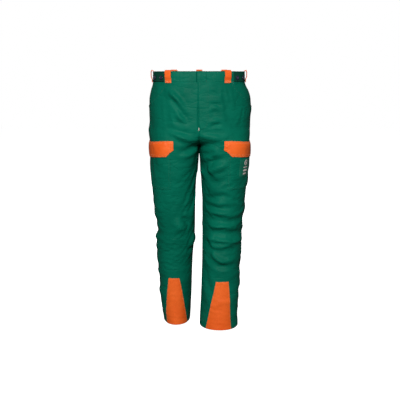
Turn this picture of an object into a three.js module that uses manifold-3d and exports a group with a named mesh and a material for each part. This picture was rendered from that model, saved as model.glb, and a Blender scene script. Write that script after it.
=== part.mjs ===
// Chainsaw-protection trousers, standing as worn: outer shell panels, cut-protection pads, lining,
// waistband with belt loops and brace buttons, a zip fly, hip pockets, thigh pockets with flaps,
// a back pocket with a flap, ankle panels and hems.
//
// Millimetres, +Z up. The origin is the centre of the waist opening, level with the top of the
// waistband. The wearer faces -Y, so the wearer's left leg is at +X and the right leg at -X.
import * as THREE from "three";
import { mergeVertices } from "three/addons/utils/BufferGeometryUtils.js";
import Module from "manifold-3d";

const wasm = await Module();
wasm.setup();

// ---------------------------------------------------------------- driving dimensions
const RISE = 285; // top of the waistband down to the crotch
const INSEAM = 729; // crotch down to the hem
const WAIST_HALF_WIDTH = 183;
const HIP_HALF_WIDTH = 206;
const WAIST_FRONT = 122; // from the origin forward to the front of the waist
const WAIST_BACK = 128;

const SHELL = 1.0; // outer fabric, with its seam allowances
const POCKETING = 0.8;
const PAD = 5.0; // quilted cut-protection layers
const LINING = 0.8;
const SEWN_GAP = 0.3; // between two pieces that lie face to face on the same facets
const LOOSE_GAP = 0.9; // between two layers whose facets differ
const LINING_GAP = 1.8; // the lining hangs clear of the pads
const SEAM_GAP = 0.2; // from a seam line to the edge of each panel that meets there

const BAND_HEIGHT = 38;
const BAND_THICKNESS = 3.2;
const BAND_PROUD = 0.8; // the band stands this far out of the panels below it
const ELASTIC_FROM = 131; // how far out from the front or back centre the side elastic begins
const TAB_LENGTH = 32;
const TAB_THICKNESS = 2.2;
const TAB_OVERLAP = 6; // how far the tab's tip passes the centre

const LOOP_WIDTH = 30;
const LOOP_THICKNESS = 1.8;
const LOOP_STANDOFF = 7.5; // room for a belt behind a loop
const LOOP_RISE = 6; // the loop stands this far above the band
const LOOP_FOOT = 10; // sewn length below the band

const BUTTON_RADIUS = 7.5;
const BUTTON_THICKNESS = 2.8;
const BUTTON_SHANK = 2.2;
const BUTTON_SHANK_RADIUS = 2.4;

const SNAP_RADIUS = 6;
const SNAP_POST_RADIUS = 2.6;
const SNAP_POST_HEIGHT = 1.8;
const SNAP_CLEARANCE = 0.6;

const FLY_WIDTH = 36; // overlap from the fly edge to its stitched line
const FLY_EDGE = 3; // the left front passes the centre by this much
const ZIP_TOP = 46; // below the top of the waistband
const ZIP_LENGTH = 160;
const ZIP_CENTRE = 10; // behind the overlap, off the centre line
const TAPE_THICKNESS = 0.6;
const TAPE_REACH = 19; // from the middle of the zip to the tape's sewn edge
const TOOTH_PITCH = 4;
const TOOTH_HEIGHT = 2.2;
const TOOTH_WIDTH = 2.6;
const TEETH_THICKNESS = 2.4;
const SLIDER_LENGTH = 11;
const SLIDER_PLATE = 1.0;
const SLIDER_CLEARANCE = 0.4;
const SLIDER_POST = 0.8;
const PULL_LENGTH = 20;
const PULL_WIDTH = 7;
const PULL_THICKNESS = 0.9;
const PULL_BAR_RADIUS = 0.55;
const PULL_SWING = 12; // degrees the pull tab can tip before it meets the fly facing

const FLAP_THICKNESS = 1.6;
const FLAP_HEIGHT = 62;
const FLAP_TOP = 257; // below the top of the waistband
const FLAP_CHAMFER = 26;
const FLAP_FRONT_ANGLE = 89; // on the leg's round: 90 is the front, 180 the side seam
const FLAP_BACK_ANGLE = 206;
const THIGH_POCKET_HEIGHT = 164;
const POCKET_DEPTH = 1.5; // the slack between a flat patch pocket and the leg behind it
const POCKET_MOUTH = 24; // from the flap's seam down to the pocket's open edge
const POCKET_MARGIN = 5; // degrees that the pocket is narrower than its flap at each end
const TAPE_HEIGHT = 20; // hook and loop tapes
const TAPE_THICK = 0.7;

const BACK_POCKET_IN = 36; // from the centre back to the pocket
const BACK_POCKET_WIDTH = 118;
const BACK_POCKET_TOP = 104;
const BACK_POCKET_HEIGHT = 150;
const BACK_FLAP_HEIGHT = 56;

const ANKLE_TOP_FRONT = 77;
const ANKLE_TOP_SIDE = 116;
const ANKLE_HEM_FRONT = 47;
const ANKLE_HEM_SIDE = 138;

const HIP_POCKET_IN = 126; // the opening starts this far from the centre, at the waistband
const HIP_POCKET_END = 134; // and meets the side seam this far below the top

const PAD_TOP = 86;
const PAD_ABOVE_HEM = 50;

// ---------------------------------------------------------------- the body form
const HEM = -(RISE + INSEAM);
const CROTCH = -RISE;
const FORK = -RISE * 0.75; // where the fronts begin to part towards the crotch
const down = (share) => CROTCH - share * INSEAM; // a height on the leg, 0 at the crotch and 1 at the hem
const below = (share) => -RISE * share; // a height on the body, 0 at the waist and 1 at the crotch

// [height, outside half-width, inside gap to the centre plane, front, back] for each leg. The left leg
// stands a little forward and the right leg a little back.
const W = WAIST_HALF_WIDTH;
const H = HIP_HALF_WIDTH;
const F = -WAIST_FRONT;
const B = WAIST_BACK;
const HIP_OUT = [
  [below(0), W],
  [below(0.135), W + 2],
];
const FORM = {
  left: {
    sign: 1,
    out: [
      ...HIP_OUT, [below(0.27), (W + H) / 2 + 3], [below(0.41), H], [below(0.54), H + 2],
      [below(0.76), H - 1], [down(0), H - 2], [down(0.063), H - 4], [down(0.2), H - 12],
      [down(0.33), H - 22], [down(0.47), H - 30], [down(0.57), H - 32], [down(0.77), H - 38],
      [down(0.92), H - 43], [down(1), H - 45],
    ],
    gap: [
      [down(0), 0.6], [down(0.063), 1.6], [down(0.2), 8], [down(0.33), 12], [down(0.57), 12],
      [down(0.77), 9], [down(0.92), 4], [down(1), 1],
    ],
    front: [
      [below(0), F], [below(0.78), F - 10], [down(0), F - 9], [down(0.063), F - 5],
      [down(0.2), F + 4], [down(0.33), F + 9], [down(0.47), F + 9], [down(0.77), F + 3],
      [down(1), F - 6],
    ],
    back: [
      [below(0), B], [below(0.135), B + 7], [below(0.41), B + 24], [below(0.76), B + 34],
      [down(0), B + 20], [down(0.063), B + 6], [down(0.2), B - 20], [down(0.33), B - 38],
      [down(0.47), B - 52], [down(0.77), B - 66], [down(1), B - 84],
    ],
  },
  right: {
    sign: -1,
    out: [
      ...HIP_OUT, [below(0.27), (W + H) / 2 - 2], [below(0.41), H - 7], [below(0.54), H - 6],
      [below(0.76), H - 5], [down(0), H - 7], [down(0.063), H - 10], [down(0.2), H - 14],
      [down(0.33), H - 20], [down(0.4), H - 28], [down(0.47), H - 33], [down(0.57), H - 30],
      [down(0.77), H - 38], [down(0.92), H - 45], [down(1), H - 56],
    ],
    gap: [
      [down(0), 0.6], [down(0.063), 1.6], [down(0.2), 12], [down(0.33), 16], [down(0.47), 17],
      [down(0.63), 27], [down(0.77), 31], [down(0.92), 35], [down(1), 38],
    ],
    front: [
      [below(0), F], [below(0.78), F - 10], [down(0), F - 9], [down(0.063), F - 5],
      [down(0.2), F + 7], [down(0.33), F + 22], [down(0.47), F + 34], [down(0.77), F + 54],
      [down(1), F + 56],
    ],
    back: [
      [below(0), B], [below(0.135), B + 7], [below(0.41), B + 24], [below(0.76), B + 34],
      [down(0), B + 20], [down(0.063), B + 6], [down(0.2), B - 16], [down(0.33), B - 26],
      [down(0.47), B - 26], [down(0.77), B - 10], [down(1), B + 6],
    ],
  },
};
const SQUARENESS = [ // 2 is an ellipse; the hips are a little squarer
  [below(0), 2.4], [down(0), 2.5], [down(0.2), 2.1], [down(1), 2.05],
];

// A smooth curve through [position, value] pairs, listed from high to low, that never overshoots.
function along(pairs, at) {
  const last = pairs.length - 1;
  if (at >= pairs[0][0]) return pairs[0][1];
  if (at <= pairs[last][0]) return pairs[last][1];
  const slope = (i) => (pairs[i + 1][1] - pairs[i][1]) / (pairs[i + 1][0] - pairs[i][0]);
  const tangent = (i) => {
    if (i === 0) return slope(0);
    if (i === last) return slope(last - 1);
    const before = slope(i - 1);
    const after = slope(i);
    return before * after <= 0 ? 0 : (2 * before * after) / (before + after);
  };
  let i = 0;
  while (at < pairs[i + 1][0]) i += 1;
  const span = pairs[i + 1][0] - pairs[i][0];
  const t = (at - pairs[i][0]) / span;
  const t2 = t * t;
  const t3 = t2 * t;
  return (
    (2 * t3 - 3 * t2 + 1) * pairs[i][1] + (t3 - 2 * t2 + t) * span * tangent(i) +
    (-2 * t3 + 3 * t2) * pairs[i + 1][1] + (t3 - t2) * span * tangent(i + 1)
  );
}

// The horizontal section of one half of the trousers: an oval that the centre plane cuts off above
// the crotch and that closes round the leg below it.
function section(side, z) {
  const form = FORM[side];
  const power = along(SQUARENESS, z);
  const out = along(form.out, z);
  let inner;
  if (z > FORK) inner = -out;
  else if (z > CROTCH) {
    const t = (FORK - z) / (FORK - CROTCH);
    const open = (1 - t ** 3) ** 0.6; // share of the depth still joined to the other half
    const k = (1 - open ** power) ** (1 / power);
    inner = Math.min((-out * (1 - k)) / (1 + k) + form.gap[0][1] * t, form.gap[0][1]);
  } else inner = along(form.gap, z);
  const front = along(form.front, z);
  const back = along(form.back, z);
  return {
    cx: (out + inner) / 2,
    a: (out - inner) / 2,
    cy: (front + back) / 2,
    b: (back - front) / 2,
    power,
  };
}

const signedPower = (value, power) => Math.sign(value) * Math.abs(value) ** power;
const RAD = Math.PI / 180;

// A point of the outer face. Angle 0 is the inseam, 90 the front, 180 the side seam, 270 the back.
function onForm(side, angle, z) {
  const s = section(side, z);
  const x = s.cx - s.a * signedPower(Math.cos(angle * RAD), 2 / s.power);
  const y = s.cy - s.b * signedPower(Math.sin(angle * RAD), 2 / s.power);
  return new THREE.Vector3(x * FORM[side].sign, y, z);
}

function normalAt(side, angle, z) {
  const round = onForm(side, angle + 1.5, z).sub(onForm(side, angle - 1.5, z));
  const up = onForm(side, angle, z + 3).sub(onForm(side, angle, z - 3));
  const n = new THREE.Vector3().crossVectors(round, up).normalize();
  const s = section(side, z);
  const outward = onForm(side, angle, z).sub(new THREE.Vector3(s.cx * FORM[side].sign, s.cy, z));
  return n.dot(outward) < 0 ? n.negate() : n;
}

// The heights at which the cloth bends; every layer is straight between two of them.
const HEM_DEPTH = 30; // the turned-up hem
const ANKLE_TOP = 212; // the ankle panel's top above the hem
const ROWS = [
  below(0), below(0.128), below(0.18), below(0.24), below(0.33), below(0.42), below(0.51),
  below(0.62), below(0.73), below(0.76), below(0.8), below(0.86), below(0.92), below(0.965),
  CROTCH - 0.5, down(0.03), down(0.08), down(0.15), down(0.24), down(0.33), down(0.42), down(0.5),
  down(0.57), down(0.64), HEM + ANKLE_TOP, down(0.79), down(0.87), HEM + HEM_DEPTH, HEM,
];

// A point a given distance outside (positive) or inside (negative) the outer face.
function offForm(side, angle, z, off) {
  const at = (row) => onForm(side, angle, row).addScaledVector(normalAt(side, angle, row), off);
  const next = ROWS.findIndex((row) => row <= z + 1e-9);
  if (next <= 0) return at(ROWS[0]).setZ(z);
  const t = (ROWS[next - 1] - z) / (ROWS[next - 1] - ROWS[next]);
  const p = at(ROWS[next - 1]).lerp(at(ROWS[next]), t);
  return p.setZ(z);
}

// The bends between two heights, with the two heights themselves.
const rowsFrom = (top, bottom) => [top, ...ROWS.filter((z) => z < top - 3 && z > bottom + 3), bottom];

// The angle on the front at a given distance from the centre plane; subtract it from 360 for the back.
function angleAt(side, z, x) {
  const s = section(side, z);
  const c = THREE.MathUtils.clamp(signedPower((s.cx - x) / s.a, s.power / 2), -1, 1);
  return Math.acos(c) / RAD;
}

// The angle by which an edge stays clear of the inseam or side seam.
function seamAngle(side, z, clear = SEAM_GAP) {
  const s = section(side, z);
  return Math.asin((clear / s.b) ** (s.power / 2)) / RAD;
}

// Where a half ends at the centre plane (or a given distance past it) or, on the leg, at the inseam.
const centreAngle = (side, z, x = SEAM_GAP) =>
  z > CROTCH ? Math.max(angleAt(side, z, x), seamAngle(side, z, 0.02)) : seamAngle(side, z);

// ---------------------------------------------------------------- making solids
function facingOut(geometry) {
  const p = geometry.attributes.position;
  const index = geometry.index;
  const [a, b, c] = [new THREE.Vector3(), new THREE.Vector3(), new THREE.Vector3()];
  let volume = 0;
  for (let i = 0; i < index.count; i += 3) {
    a.fromBufferAttribute(p, index.getX(i));
    b.fromBufferAttribute(p, index.getX(i + 1));
    c.fromBufferAttribute(p, index.getX(i + 2));
    volume += a.dot(b.cross(c));
  }
  if (volume < 0) {
    for (let i = 0; i < index.count; i += 3) {
      const second = index.getX(i + 1);
      index.setX(i + 1, index.getX(i + 2));
      index.setX(i + 2, second);
    }
  }
  return geometry;
}

function plainMesh(geometry) {
  const bare = new THREE.BufferGeometry();
  bare.setAttribute("position", geometry.getAttribute("position"));
  bare.setIndex(geometry.getIndex());
  return facingOut(mergeVertices(bare, 1e-4));
}

const toSolid = (geometry) => {
  const merged = plainMesh(geometry);
  return new wasm.Manifold(
    new wasm.Mesh({
      numProp: 3,
      vertProperties: new Float32Array(merged.attributes.position.array),
      triVerts: new Uint32Array(merged.index.array),
    }),
  );
};

function toGeometry(solid) {
  const mesh = solid.getMesh();
  const geometry = new THREE.BufferGeometry();
  geometry.setAttribute("position", new THREE.BufferAttribute(mesh.vertProperties, 3));
  geometry.setIndex(new THREE.BufferAttribute(mesh.triVerts, 1));
  return geometry;
}

// A slab of cloth: a box whose width runs round the form, whose height runs down it through the
// given heights, and whose depth runs from its inner face (0) to its outer face (1).
function bentSlab(across, heights, place) {
  const steps = heights.length - 1;
  const geometry = new THREE.BoxGeometry(1, 1, 1, across, steps, 1);
  const at = geometry.attributes.position;
  for (let i = 0; i < at.count; i += 1) {
    const row = Math.round((0.5 - at.getY(i)) * steps);
    const p = place(at.getX(i) + 0.5, heights[row], at.getZ(i) + 0.5, row / steps);
    at.setXYZ(i, p.x, p.y, p.z);
  }
  // The inner face is split along the same diagonals as the outer one, so that a thin wall keeps its
  // thickness where its facets are skewed.
  const inner = geometry.groups[5];
  for (let i = inner.start; i < inner.start + inner.count; i += 6) {
    const [a, b, d, , c] = geometry.index.array.slice(i, i + 5);
    geometry.index.array.set([a, b, c, a, c, d], i);
  }
  return plainMesh(geometry);
}

const lerp = THREE.MathUtils.lerp;
const evenly = (from, to, steps) =>
  Array.from({ length: steps + 1 }, (_, i) => lerp(from, to, i / steps));
const smooth = (t) => THREE.MathUtils.smoothstep(t, 0, 1);

const COLOURS = {
  shell: [0x0f6b4c, 0.75, 0],
  orange: [0xf0661c, 0.75, 0],
  lining: [0x2b3330, 0.85, 0],
  pad: [0xe8e4d8, 0.95, 0],
  pocketing: [0xcfcfc8, 0.85, 0],
  tape: [0x14563f, 0.8, 0],
  hook: [0x1c1e1d, 0.9, 0],
  button: [0x1d1b24, 0.35, 0],
  metal: [0xb9bcc0, 0.3, 0.9],
  elastic: [0x0c5039, 0.85, 0],
  badge: [0xcbbfb6, 0.7, 0],
  label: [0xf2f0ea, 0.8, 0],
};

const trousers = new THREE.Group();

function add(name, geometry, finish, parent = trousers) {
  const [color, roughness, metalness] = COLOURS[finish];
  const material = new THREE.MeshStandardMaterial({ color, roughness, metalness });
  const mesh = new THREE.Mesh(geometry, material);
  mesh.name = name;
  parent.add(mesh);
  return mesh;
}

// ---------------------------------------------------------------- depths of the layers
const BAG_OUT = -(SHELL + 1.5 * SEWN_GAP); // pocketing lies behind the shell
const BAG_IN = BAG_OUT - SHELL;
const BAG2_OUT = BAG_IN - 1.5 * SEWN_GAP;
const BAG2_IN = BAG2_OUT - POCKETING;
const PAD_OUT = BAG2_IN - SEWN_GAP;
const PAD_IN = PAD_OUT - PAD;
const LINING_OUT = PAD_IN - LINING_GAP;

const PANEL_TOP = -BAND_HEIGHT - SEWN_GAP;
const FLY_END = -(ZIP_TOP + ZIP_LENGTH) - 4;

// ---------------------------------------------------------------- outer panels
const STEPS = 12; // columns of facets across one panel
const RIGHT_EDGE = FLY_EDGE + 2 * SEAM_GAP; // the right front stops just short of the overlap

// The angle a share of the way across a front or a back, and across both, from 0 to 2.
const acrossFront = (side, z, share) => lerp(centreAngle(side, z), 180 - seamAngle(side, z), share);
const acrossBack = (side, z, share) => lerp(180 + seamAngle(side, z), 360 - centreAngle(side, z), share);
const across = (side, z, share) =>
  share <= 1 ? acrossFront(side, z, share) : acrossBack(side, z, share - 1);

// The hip pocket's opening takes the upper outer corner off a front: a block that curves down from
// the waistband to the side seam, seen along the direction the opening faces.
function pocketCutter(side) {
  const sign = FORM[side].sign;
  const facing = new THREE.Vector3(0.8 * sign, -0.6, 0);
  const level = new THREE.Vector3(0.6 * sign, 0.8, 0);
  const start = onForm(side, angleAt(side, PANEL_TOP, HIP_POCKET_IN), PANEL_TOP).dot(level);
  const end = onForm(side, 180, -HIP_POCKET_END).dot(level);
  const shape = new THREE.Shape([
    new THREE.Vector2(start - 2, -BAND_HEIGHT + 10), new THREE.Vector2(start, PANEL_TOP),
    new THREE.Vector2(lerp(start, end, 0.12), lerp(PANEL_TOP, -HIP_POCKET_END, 0.36)),
    new THREE.Vector2(lerp(start, end, 0.38), lerp(PANEL_TOP, -HIP_POCKET_END, 0.7)),
    new THREE.Vector2(lerp(start, end, 0.7), lerp(PANEL_TOP, -HIP_POCKET_END, 0.92)),
    new THREE.Vector2(end + 2, -HIP_POCKET_END), new THREE.Vector2(end + 60, -HIP_POCKET_END),
    new THREE.Vector2(end + 60, -BAND_HEIGHT + 10),
  ]);
  const block = new THREE.ExtrudeGeometry(shape, { depth: 260, bevelEnabled: false });
  block.applyMatrix4(new THREE.Matrix4().makeBasis(level, new THREE.Vector3(0, 0, 1), facing));
  return toSolid(block);
}

for (const side of ["left", "right"]) {
  const edge = side === "left" ? -FLY_EDGE : RIGHT_EDGE;
  const front = bentSlab(STEPS, rowsFrom(PANEL_TOP, HEM), (u, z, w) => {
    let angle = across(side, z, u);
    if (u === 0 && z > FLY_END - 1) angle = angleAt(side, z, edge);
    return offForm(side, angle, z, lerp(-SHELL, 0, w));
  });
  const opened = toSolid(front).subtract(pocketCutter(side)).simplify(0.01);
  add(`front_panel_${side}`, toGeometry(opened), "shell");
  const back = bentSlab(STEPS, rowsFrom(PANEL_TOP, HEM), (u, z, w) =>
    offForm(side, acrossBack(side, z, u), z, lerp(-SHELL, 0, w)));
  add(`back_panel_${side}`, back, "shell");
}

// ---------------------------------------------------------------- pads, lining and hems
// The lining closes up to the band at the top and to the turned-up hem at the bottom.
function liningDepth(z) {
  const full = -PAD_TOP + 15; // the taper at the top ends above the pad
  const top = (z - full) / (PANEL_TOP - full);
  const bottom = (HEM + PAD_ABOVE_HEM - 5 - z) / (PAD_ABOVE_HEM - 25);
  const atTop = lerp(LINING_OUT, BAG2_IN - SEWN_GAP, THREE.MathUtils.clamp(top, 0, 1));
  return lerp(atTop, -2 * SHELL - 2 * LOOSE_GAP, THREE.MathUtils.clamp(bottom, 0, 1));
}

const FIRST = 2; // pads and lining begin this many columns from the fly and the inseam
for (const side of ["left", "right"]) {
  const pad = bentSlab(STEPS - FIRST, rowsFrom(-PAD_TOP, HEM + PAD_ABOVE_HEM), (u, z, w) => {
    return offForm(side, across(side, z, lerp(FIRST / STEPS, 1, u)), z, lerp(PAD_IN, PAD_OUT, w));
  });
  add(`cut_pad_${side}`, pad, "pad");
  const liningShares = [1.7, 2, 4, 6, 8, 10, 12, 14, 16, 18, 20, 22, 23.4].map((n) => n / STEPS);
  const liningRows = rowsFrom(PANEL_TOP, HEM + PAD_ABOVE_HEM - 5).concat(HEM + 20);
  const lining = bentSlab(liningShares.length - 1, liningRows, (u, z, w) => {
    const i = Math.round(u * (liningShares.length - 1));
    const intoLeg = smooth((CROTCH - z) / 40);
    const share = i === 0 ? lerp(liningShares[0], 0.5 / STEPS, intoLeg) : liningShares[i];
    const depth = liningDepth(z);
    return offForm(side, across(side, z, share), z, lerp(depth - LINING, depth, w));
  });
  add(`lining_${side}`, lining, "lining");
  const hem = bentSlab(2 * STEPS, [HEM + HEM_DEPTH, HEM + SEWN_GAP], (u, z, w) => {
    const out = -SHELL - 2 * SEWN_GAP;
    return offForm(side, across(side, z, 2 * u), z, lerp(out - SHELL, out, w));
  });
  add(`hem_turnup_${side}`, hem, "shell");
}

// ---------------------------------------------------------------- waistband
// A place on the band: 0 is the front centre, 90 the left side, 180 the back centre.
function onBand(turn, z, off) {
  const t = ((turn % 360) + 360) % 360;
  return t <= 180 ? offForm("left", 90 + t, z, off) : offForm("right", 90 + (360 - t), z, off);
}
const turnAtX = (x) => angleAt("left", -BAND_HEIGHT / 2, x) - 90; // front; 180 minus it is the back
const BAND_ROWS = [0, -BAND_HEIGHT / 2, -BAND_HEIGHT];
const BAND_IN = BAND_PROUD - BAND_THICKNESS;
const CUT = 0.12; // degrees left open at each joint of the band

function bandPiece(steps, fromTurn, toTurn, off) {
  return bentSlab(steps, BAND_ROWS, (u, z, w) => {
    const turn = lerp(fromTurn + CUT, toTurn - CUT, u);
    return onBand(turn, z, off ? off(turn, w) : lerp(BAND_IN, BAND_PROUD, w));
  });
}

const TAB_ROOT = TAB_LENGTH - TAB_OVERLAP;
const TAB_INNER = BAND_PROUD - TAB_THICKNESS;
const SNAP_ROOM = SNAP_POST_HEIGHT + 1.6; // between the tab and the underlap
const UNDERLAP_OUT = TAB_INNER - SNAP_ROOM;
const elasticTurn = turnAtX(ELASTIC_FROM);
const tabRootTurn = turnAtX(TAB_ROOT);
const underlapTip = tabRootTurn - 3;
const tabTipTurn = turnAtX(-TAB_OVERLAP);

add("waistband_front_left", bandPiece(10, tabRootTurn, elasticTurn), "shell");
add("waistband_back", bandPiece(22, 180 - elasticTurn, 180 + elasticTurn), "shell");
// Gathered elastic at the sides is a little thinner than the band, and its outer face a little lower.
const elasticOff = (_, w) => lerp(BAND_IN + 0.3, BAND_PROUD - 0.2, w);
add("side_elastic_left", bandPiece(12, elasticTurn, 180 - elasticTurn, elasticOff), "elastic");
add("side_elastic_right", bandPiece(12, 180 + elasticTurn, 360 - elasticTurn, elasticOff), "elastic");
// The right front dips behind the tab to make the underlap.
const dip = (turn, w) => {
  const t = smooth((turn - (tabTipTurn - 2.2)) / 1.4);
  return lerp(lerp(BAND_IN, UNDERLAP_OUT - TAB_THICKNESS, t), lerp(BAND_PROUD, UNDERLAP_OUT, t), w);
};
const underlapTurns = [
  ...evenly(-elasticTurn + CUT, tabTipTurn - 2.4, 8), ...evenly(tabTipTurn - 1.9, tabTipTurn - 0.7, 3),
  ...evenly(tabTipTurn + 1, underlapTip, 3),
];
const underlap = bentSlab(underlapTurns.length - 1, BAND_ROWS, (u, z, w) => {
  const turn = underlapTurns[Math.round(u * (underlapTurns.length - 1))];
  return onBand(turn, z, dip(turn, w));
});
add("waistband_front_right", underlap, "shell");

const tab = bandPiece(6, tabTipTurn - 2 * CUT, tabRootTurn, (_, w) => lerp(TAB_INNER, BAND_PROUD, w));
add("waistband_tab", tab, "shell");

// ---------------------------------------------------------------- things sewn square to the band
// A frame whose X points out of the band, Y up and Z round it.
function bandFrame(turn, z) {
  const origin = onBand(turn, z, 0);
  const ahead = onBand(turn + 1, z, 0).sub(onBand(turn - 1, z, 0)).setZ(0).normalize();
  const up = new THREE.Vector3(0, 0, 1);
  const out = new THREE.Vector3().crossVectors(ahead, up).normalize();
  if (out.dot(origin.clone().setZ(0)) < 0) out.negate();
  const round = new THREE.Vector3().crossVectors(out, up);
  return { origin, out, matrix: new THREE.Matrix4().makeBasis(out, up, round).setPosition(origin) };
}

function ribbonSolid(path, thickness, width) {
  const edge = (sign) =>
    path.map((p, i) => {
      const a = path[Math.max(0, i - 1)];
      const b = path[Math.min(path.length - 1, i + 1)];
      const along2 = b.clone().sub(a).normalize();
      return new THREE.Vector2(p.x - along2.y * sign * thickness / 2, p.y + along2.x * sign * thickness / 2);
    });
  const shape = new THREE.Shape([...edge(1), ...edge(-1).reverse()]);
  const solid = new THREE.ExtrudeGeometry(shape, { depth: width, bevelEnabled: false });
  solid.translate(0, 0, -width / 2);
  return mergedIndexed(solid);
}

function mergedIndexed(geometry) {
  const bare = new THREE.BufferGeometry();
  bare.setAttribute("position", geometry.getAttribute("position"));
  if (geometry.index) bare.setIndex(geometry.index);
  return facingOut(mergeVertices(bare, 1e-4));
}

function beltLoop(name, turn) {
  const frame = bandFrame(turn, 0);
  const half = LOOP_THICKNESS / 2;
  // how far the cloth below the band reaches out past the frame's origin, at either edge of the loop
  const surface = (z, off) => {
    const reach = [-9, -6, -3, 0, 3, 6, 9].map((side) => onBand(turn + side, z, off).sub(frame.origin).dot(frame.out));
    return Math.max(...reach);
  };
  const footTop = -BAND_HEIGHT - 4;
  const footEnd = footTop - LOOP_FOOT;
  const on = (z, extra) => new THREE.Vector2(surface(z, z < -BAND_HEIGHT ? 0 : BAND_PROUD) + half + extra, z);
  const far = surface(-BAND_HEIGHT / 2, BAND_PROUD) + half + LOOP_STANDOFF;
  const nearTop = surface(0, BAND_IN);
  const points = [
    new THREE.Vector2(nearTop + 0.6, half + SEWN_GAP),
    new THREE.Vector2(nearTop + 2.8, half + SEWN_GAP + 0.7),
    new THREE.Vector2(far - 4.2, LOOP_RISE - half),
    new THREE.Vector2(far - 0.6, -1),
    new THREE.Vector2(far, -12),
    new THREE.Vector2(far - 0.4, -24),
    new THREE.Vector2(Math.max(far - 3.2, on(footTop, 1.6).x), -33),
    on(footTop, 0.55),
    on(footEnd, SEWN_GAP),
  ];
  const path = [];
  points.forEach((p, i) => {
    path.push(p);
    if (i > 1 && i < 6) path.push(new THREE.SplineCurve(points).getPoint((i + 0.5) / (points.length - 1)));
  });
  const geometry = ribbonSolid(path, LOOP_THICKNESS, LOOP_WIDTH);
  geometry.applyMatrix4(frame.matrix);
  return add(name, facingOut(geometry), "orange");
}

const frontLoopLeft = turnAtX(111);
const frontLoopRight = -turnAtX(119);
beltLoop("belt_loop_front_left", frontLoopLeft);
beltLoop("belt_loop_front_right", frontLoopRight);
beltLoop("belt_loop_side_left", 90);
beltLoop("belt_loop_side_right", 270);
beltLoop("belt_loop_back_left", 180 - turnAtX(100));
beltLoop("belt_loop_back_right", 180 + turnAtX(100));
beltLoop("belt_loop_back_centre", 180);

// A sewn button: a dished disc on a thread shank, turned about its own axis.
function braceButton(name, turn) {
  const frame = bandFrame(turn, -BAND_HEIGHT * 0.6);
  const seat = BAND_PROUD + SEWN_GAP + 0.15;
  const disc = seat + BUTTON_SHANK;
  const top = disc + BUTTON_THICKNESS;
  const profile = [
    [0, seat], [BUTTON_SHANK_RADIUS, seat], [BUTTON_SHANK_RADIUS, disc], [BUTTON_RADIUS - 0.8, disc],
    [BUTTON_RADIUS, disc + 0.8], [BUTTON_RADIUS, top - 0.8], [BUTTON_RADIUS - 0.8, top], [0, top],
  ].map(([r, h]) => new THREE.Vector2(r, h));
  const geometry = mergedIndexed(new THREE.LatheGeometry(profile, 12));
  // the lathe turns about Y; stand that axis out of the band
  const up = new THREE.Vector3(0, 0, 1);
  const side = new THREE.Vector3().crossVectors(frame.out, up);
  geometry.applyMatrix4(new THREE.Matrix4().makeBasis(up, frame.out, side.negate()).setPosition(frame.origin));
  return add(name, facingOut(geometry), "button");
}

const FRONT_BUTTON_IN = 142;
const FRONT_BUTTON_OUT = 168;
const BACK_BUTTON = 48;
braceButton("brace_button_front_left_inner", turnAtX(FRONT_BUTTON_IN));
braceButton("brace_button_front_left_outer", turnAtX(FRONT_BUTTON_OUT));
braceButton("brace_button_front_right_inner", -turnAtX(FRONT_BUTTON_IN));
braceButton("brace_button_front_right_outer", -turnAtX(FRONT_BUTTON_OUT));
braceButton("brace_button_back_left", 180 - turnAtX(BACK_BUTTON));
braceButton("brace_button_back_right", 180 + turnAtX(BACK_BUTTON));

// ---------------------------------------------------------------- concealed waist snap
const snapTurn = turnAtX(TAB_ROOT * 0.35);
const snapFrame = bandFrame(snapTurn, -BAND_HEIGHT / 2);

function turned(profile, frame, segments) {
  const points = profile.map(([r, h]) => new THREE.Vector2(r, h));
  const geometry = mergedIndexed(new THREE.LatheGeometry(points, segments));
  const up = new THREE.Vector3(0, 0, 1);
  const side = new THREE.Vector3().crossVectors(frame.out, up).negate();
  geometry.applyMatrix4(new THREE.Matrix4().makeBasis(up, frame.out, side).setPosition(frame.origin));
  return facingOut(geometry);
}

const studBase = UNDERLAP_OUT + SEWN_GAP;
const studFlange = 0.4;
add("snap_stud", turned([
  [0, studBase], [SNAP_RADIUS, studBase], [SNAP_RADIUS, studBase + studFlange],
  [SNAP_POST_RADIUS, studBase + studFlange], [SNAP_POST_RADIUS, studBase + studFlange + SNAP_POST_HEIGHT],
  [0, studBase + studFlange + SNAP_POST_HEIGHT],
], snapFrame, 14), "metal");
const socketTop = TAB_INNER - SEWN_GAP;
const socketFloor = studBase + studFlange + SNAP_POST_HEIGHT + 0.25;
const socketRim = studBase + studFlange + 0.35;
add("snap_socket", turned([
  [0, socketFloor], [SNAP_POST_RADIUS + SNAP_CLEARANCE, socketFloor],
  [SNAP_POST_RADIUS + SNAP_CLEARANCE, socketRim], [SNAP_RADIUS, socketRim], [SNAP_RADIUS, socketTop],
  [0, socketTop],
], snapFrame, 14), "metal");

// ---------------------------------------------------------------- the fly
const FLY_ROWS = rowsFrom(PANEL_TOP - SEWN_GAP, FLY_END);
const FACING_OUT = BAG_OUT - 0.5;
const flyFacing = bentSlab(6, FLY_ROWS, (u, z, w) => {
  const from = angleAt("left", z, -FLY_EDGE + 0.4);
  const to = angleAt("left", z, FLY_WIDTH + 2);
  return offForm("left", lerp(from, to, u), z, lerp(FACING_OUT - SHELL, FACING_OUT, w));
});
add("fly_facing", flyFacing, "shell");

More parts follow.
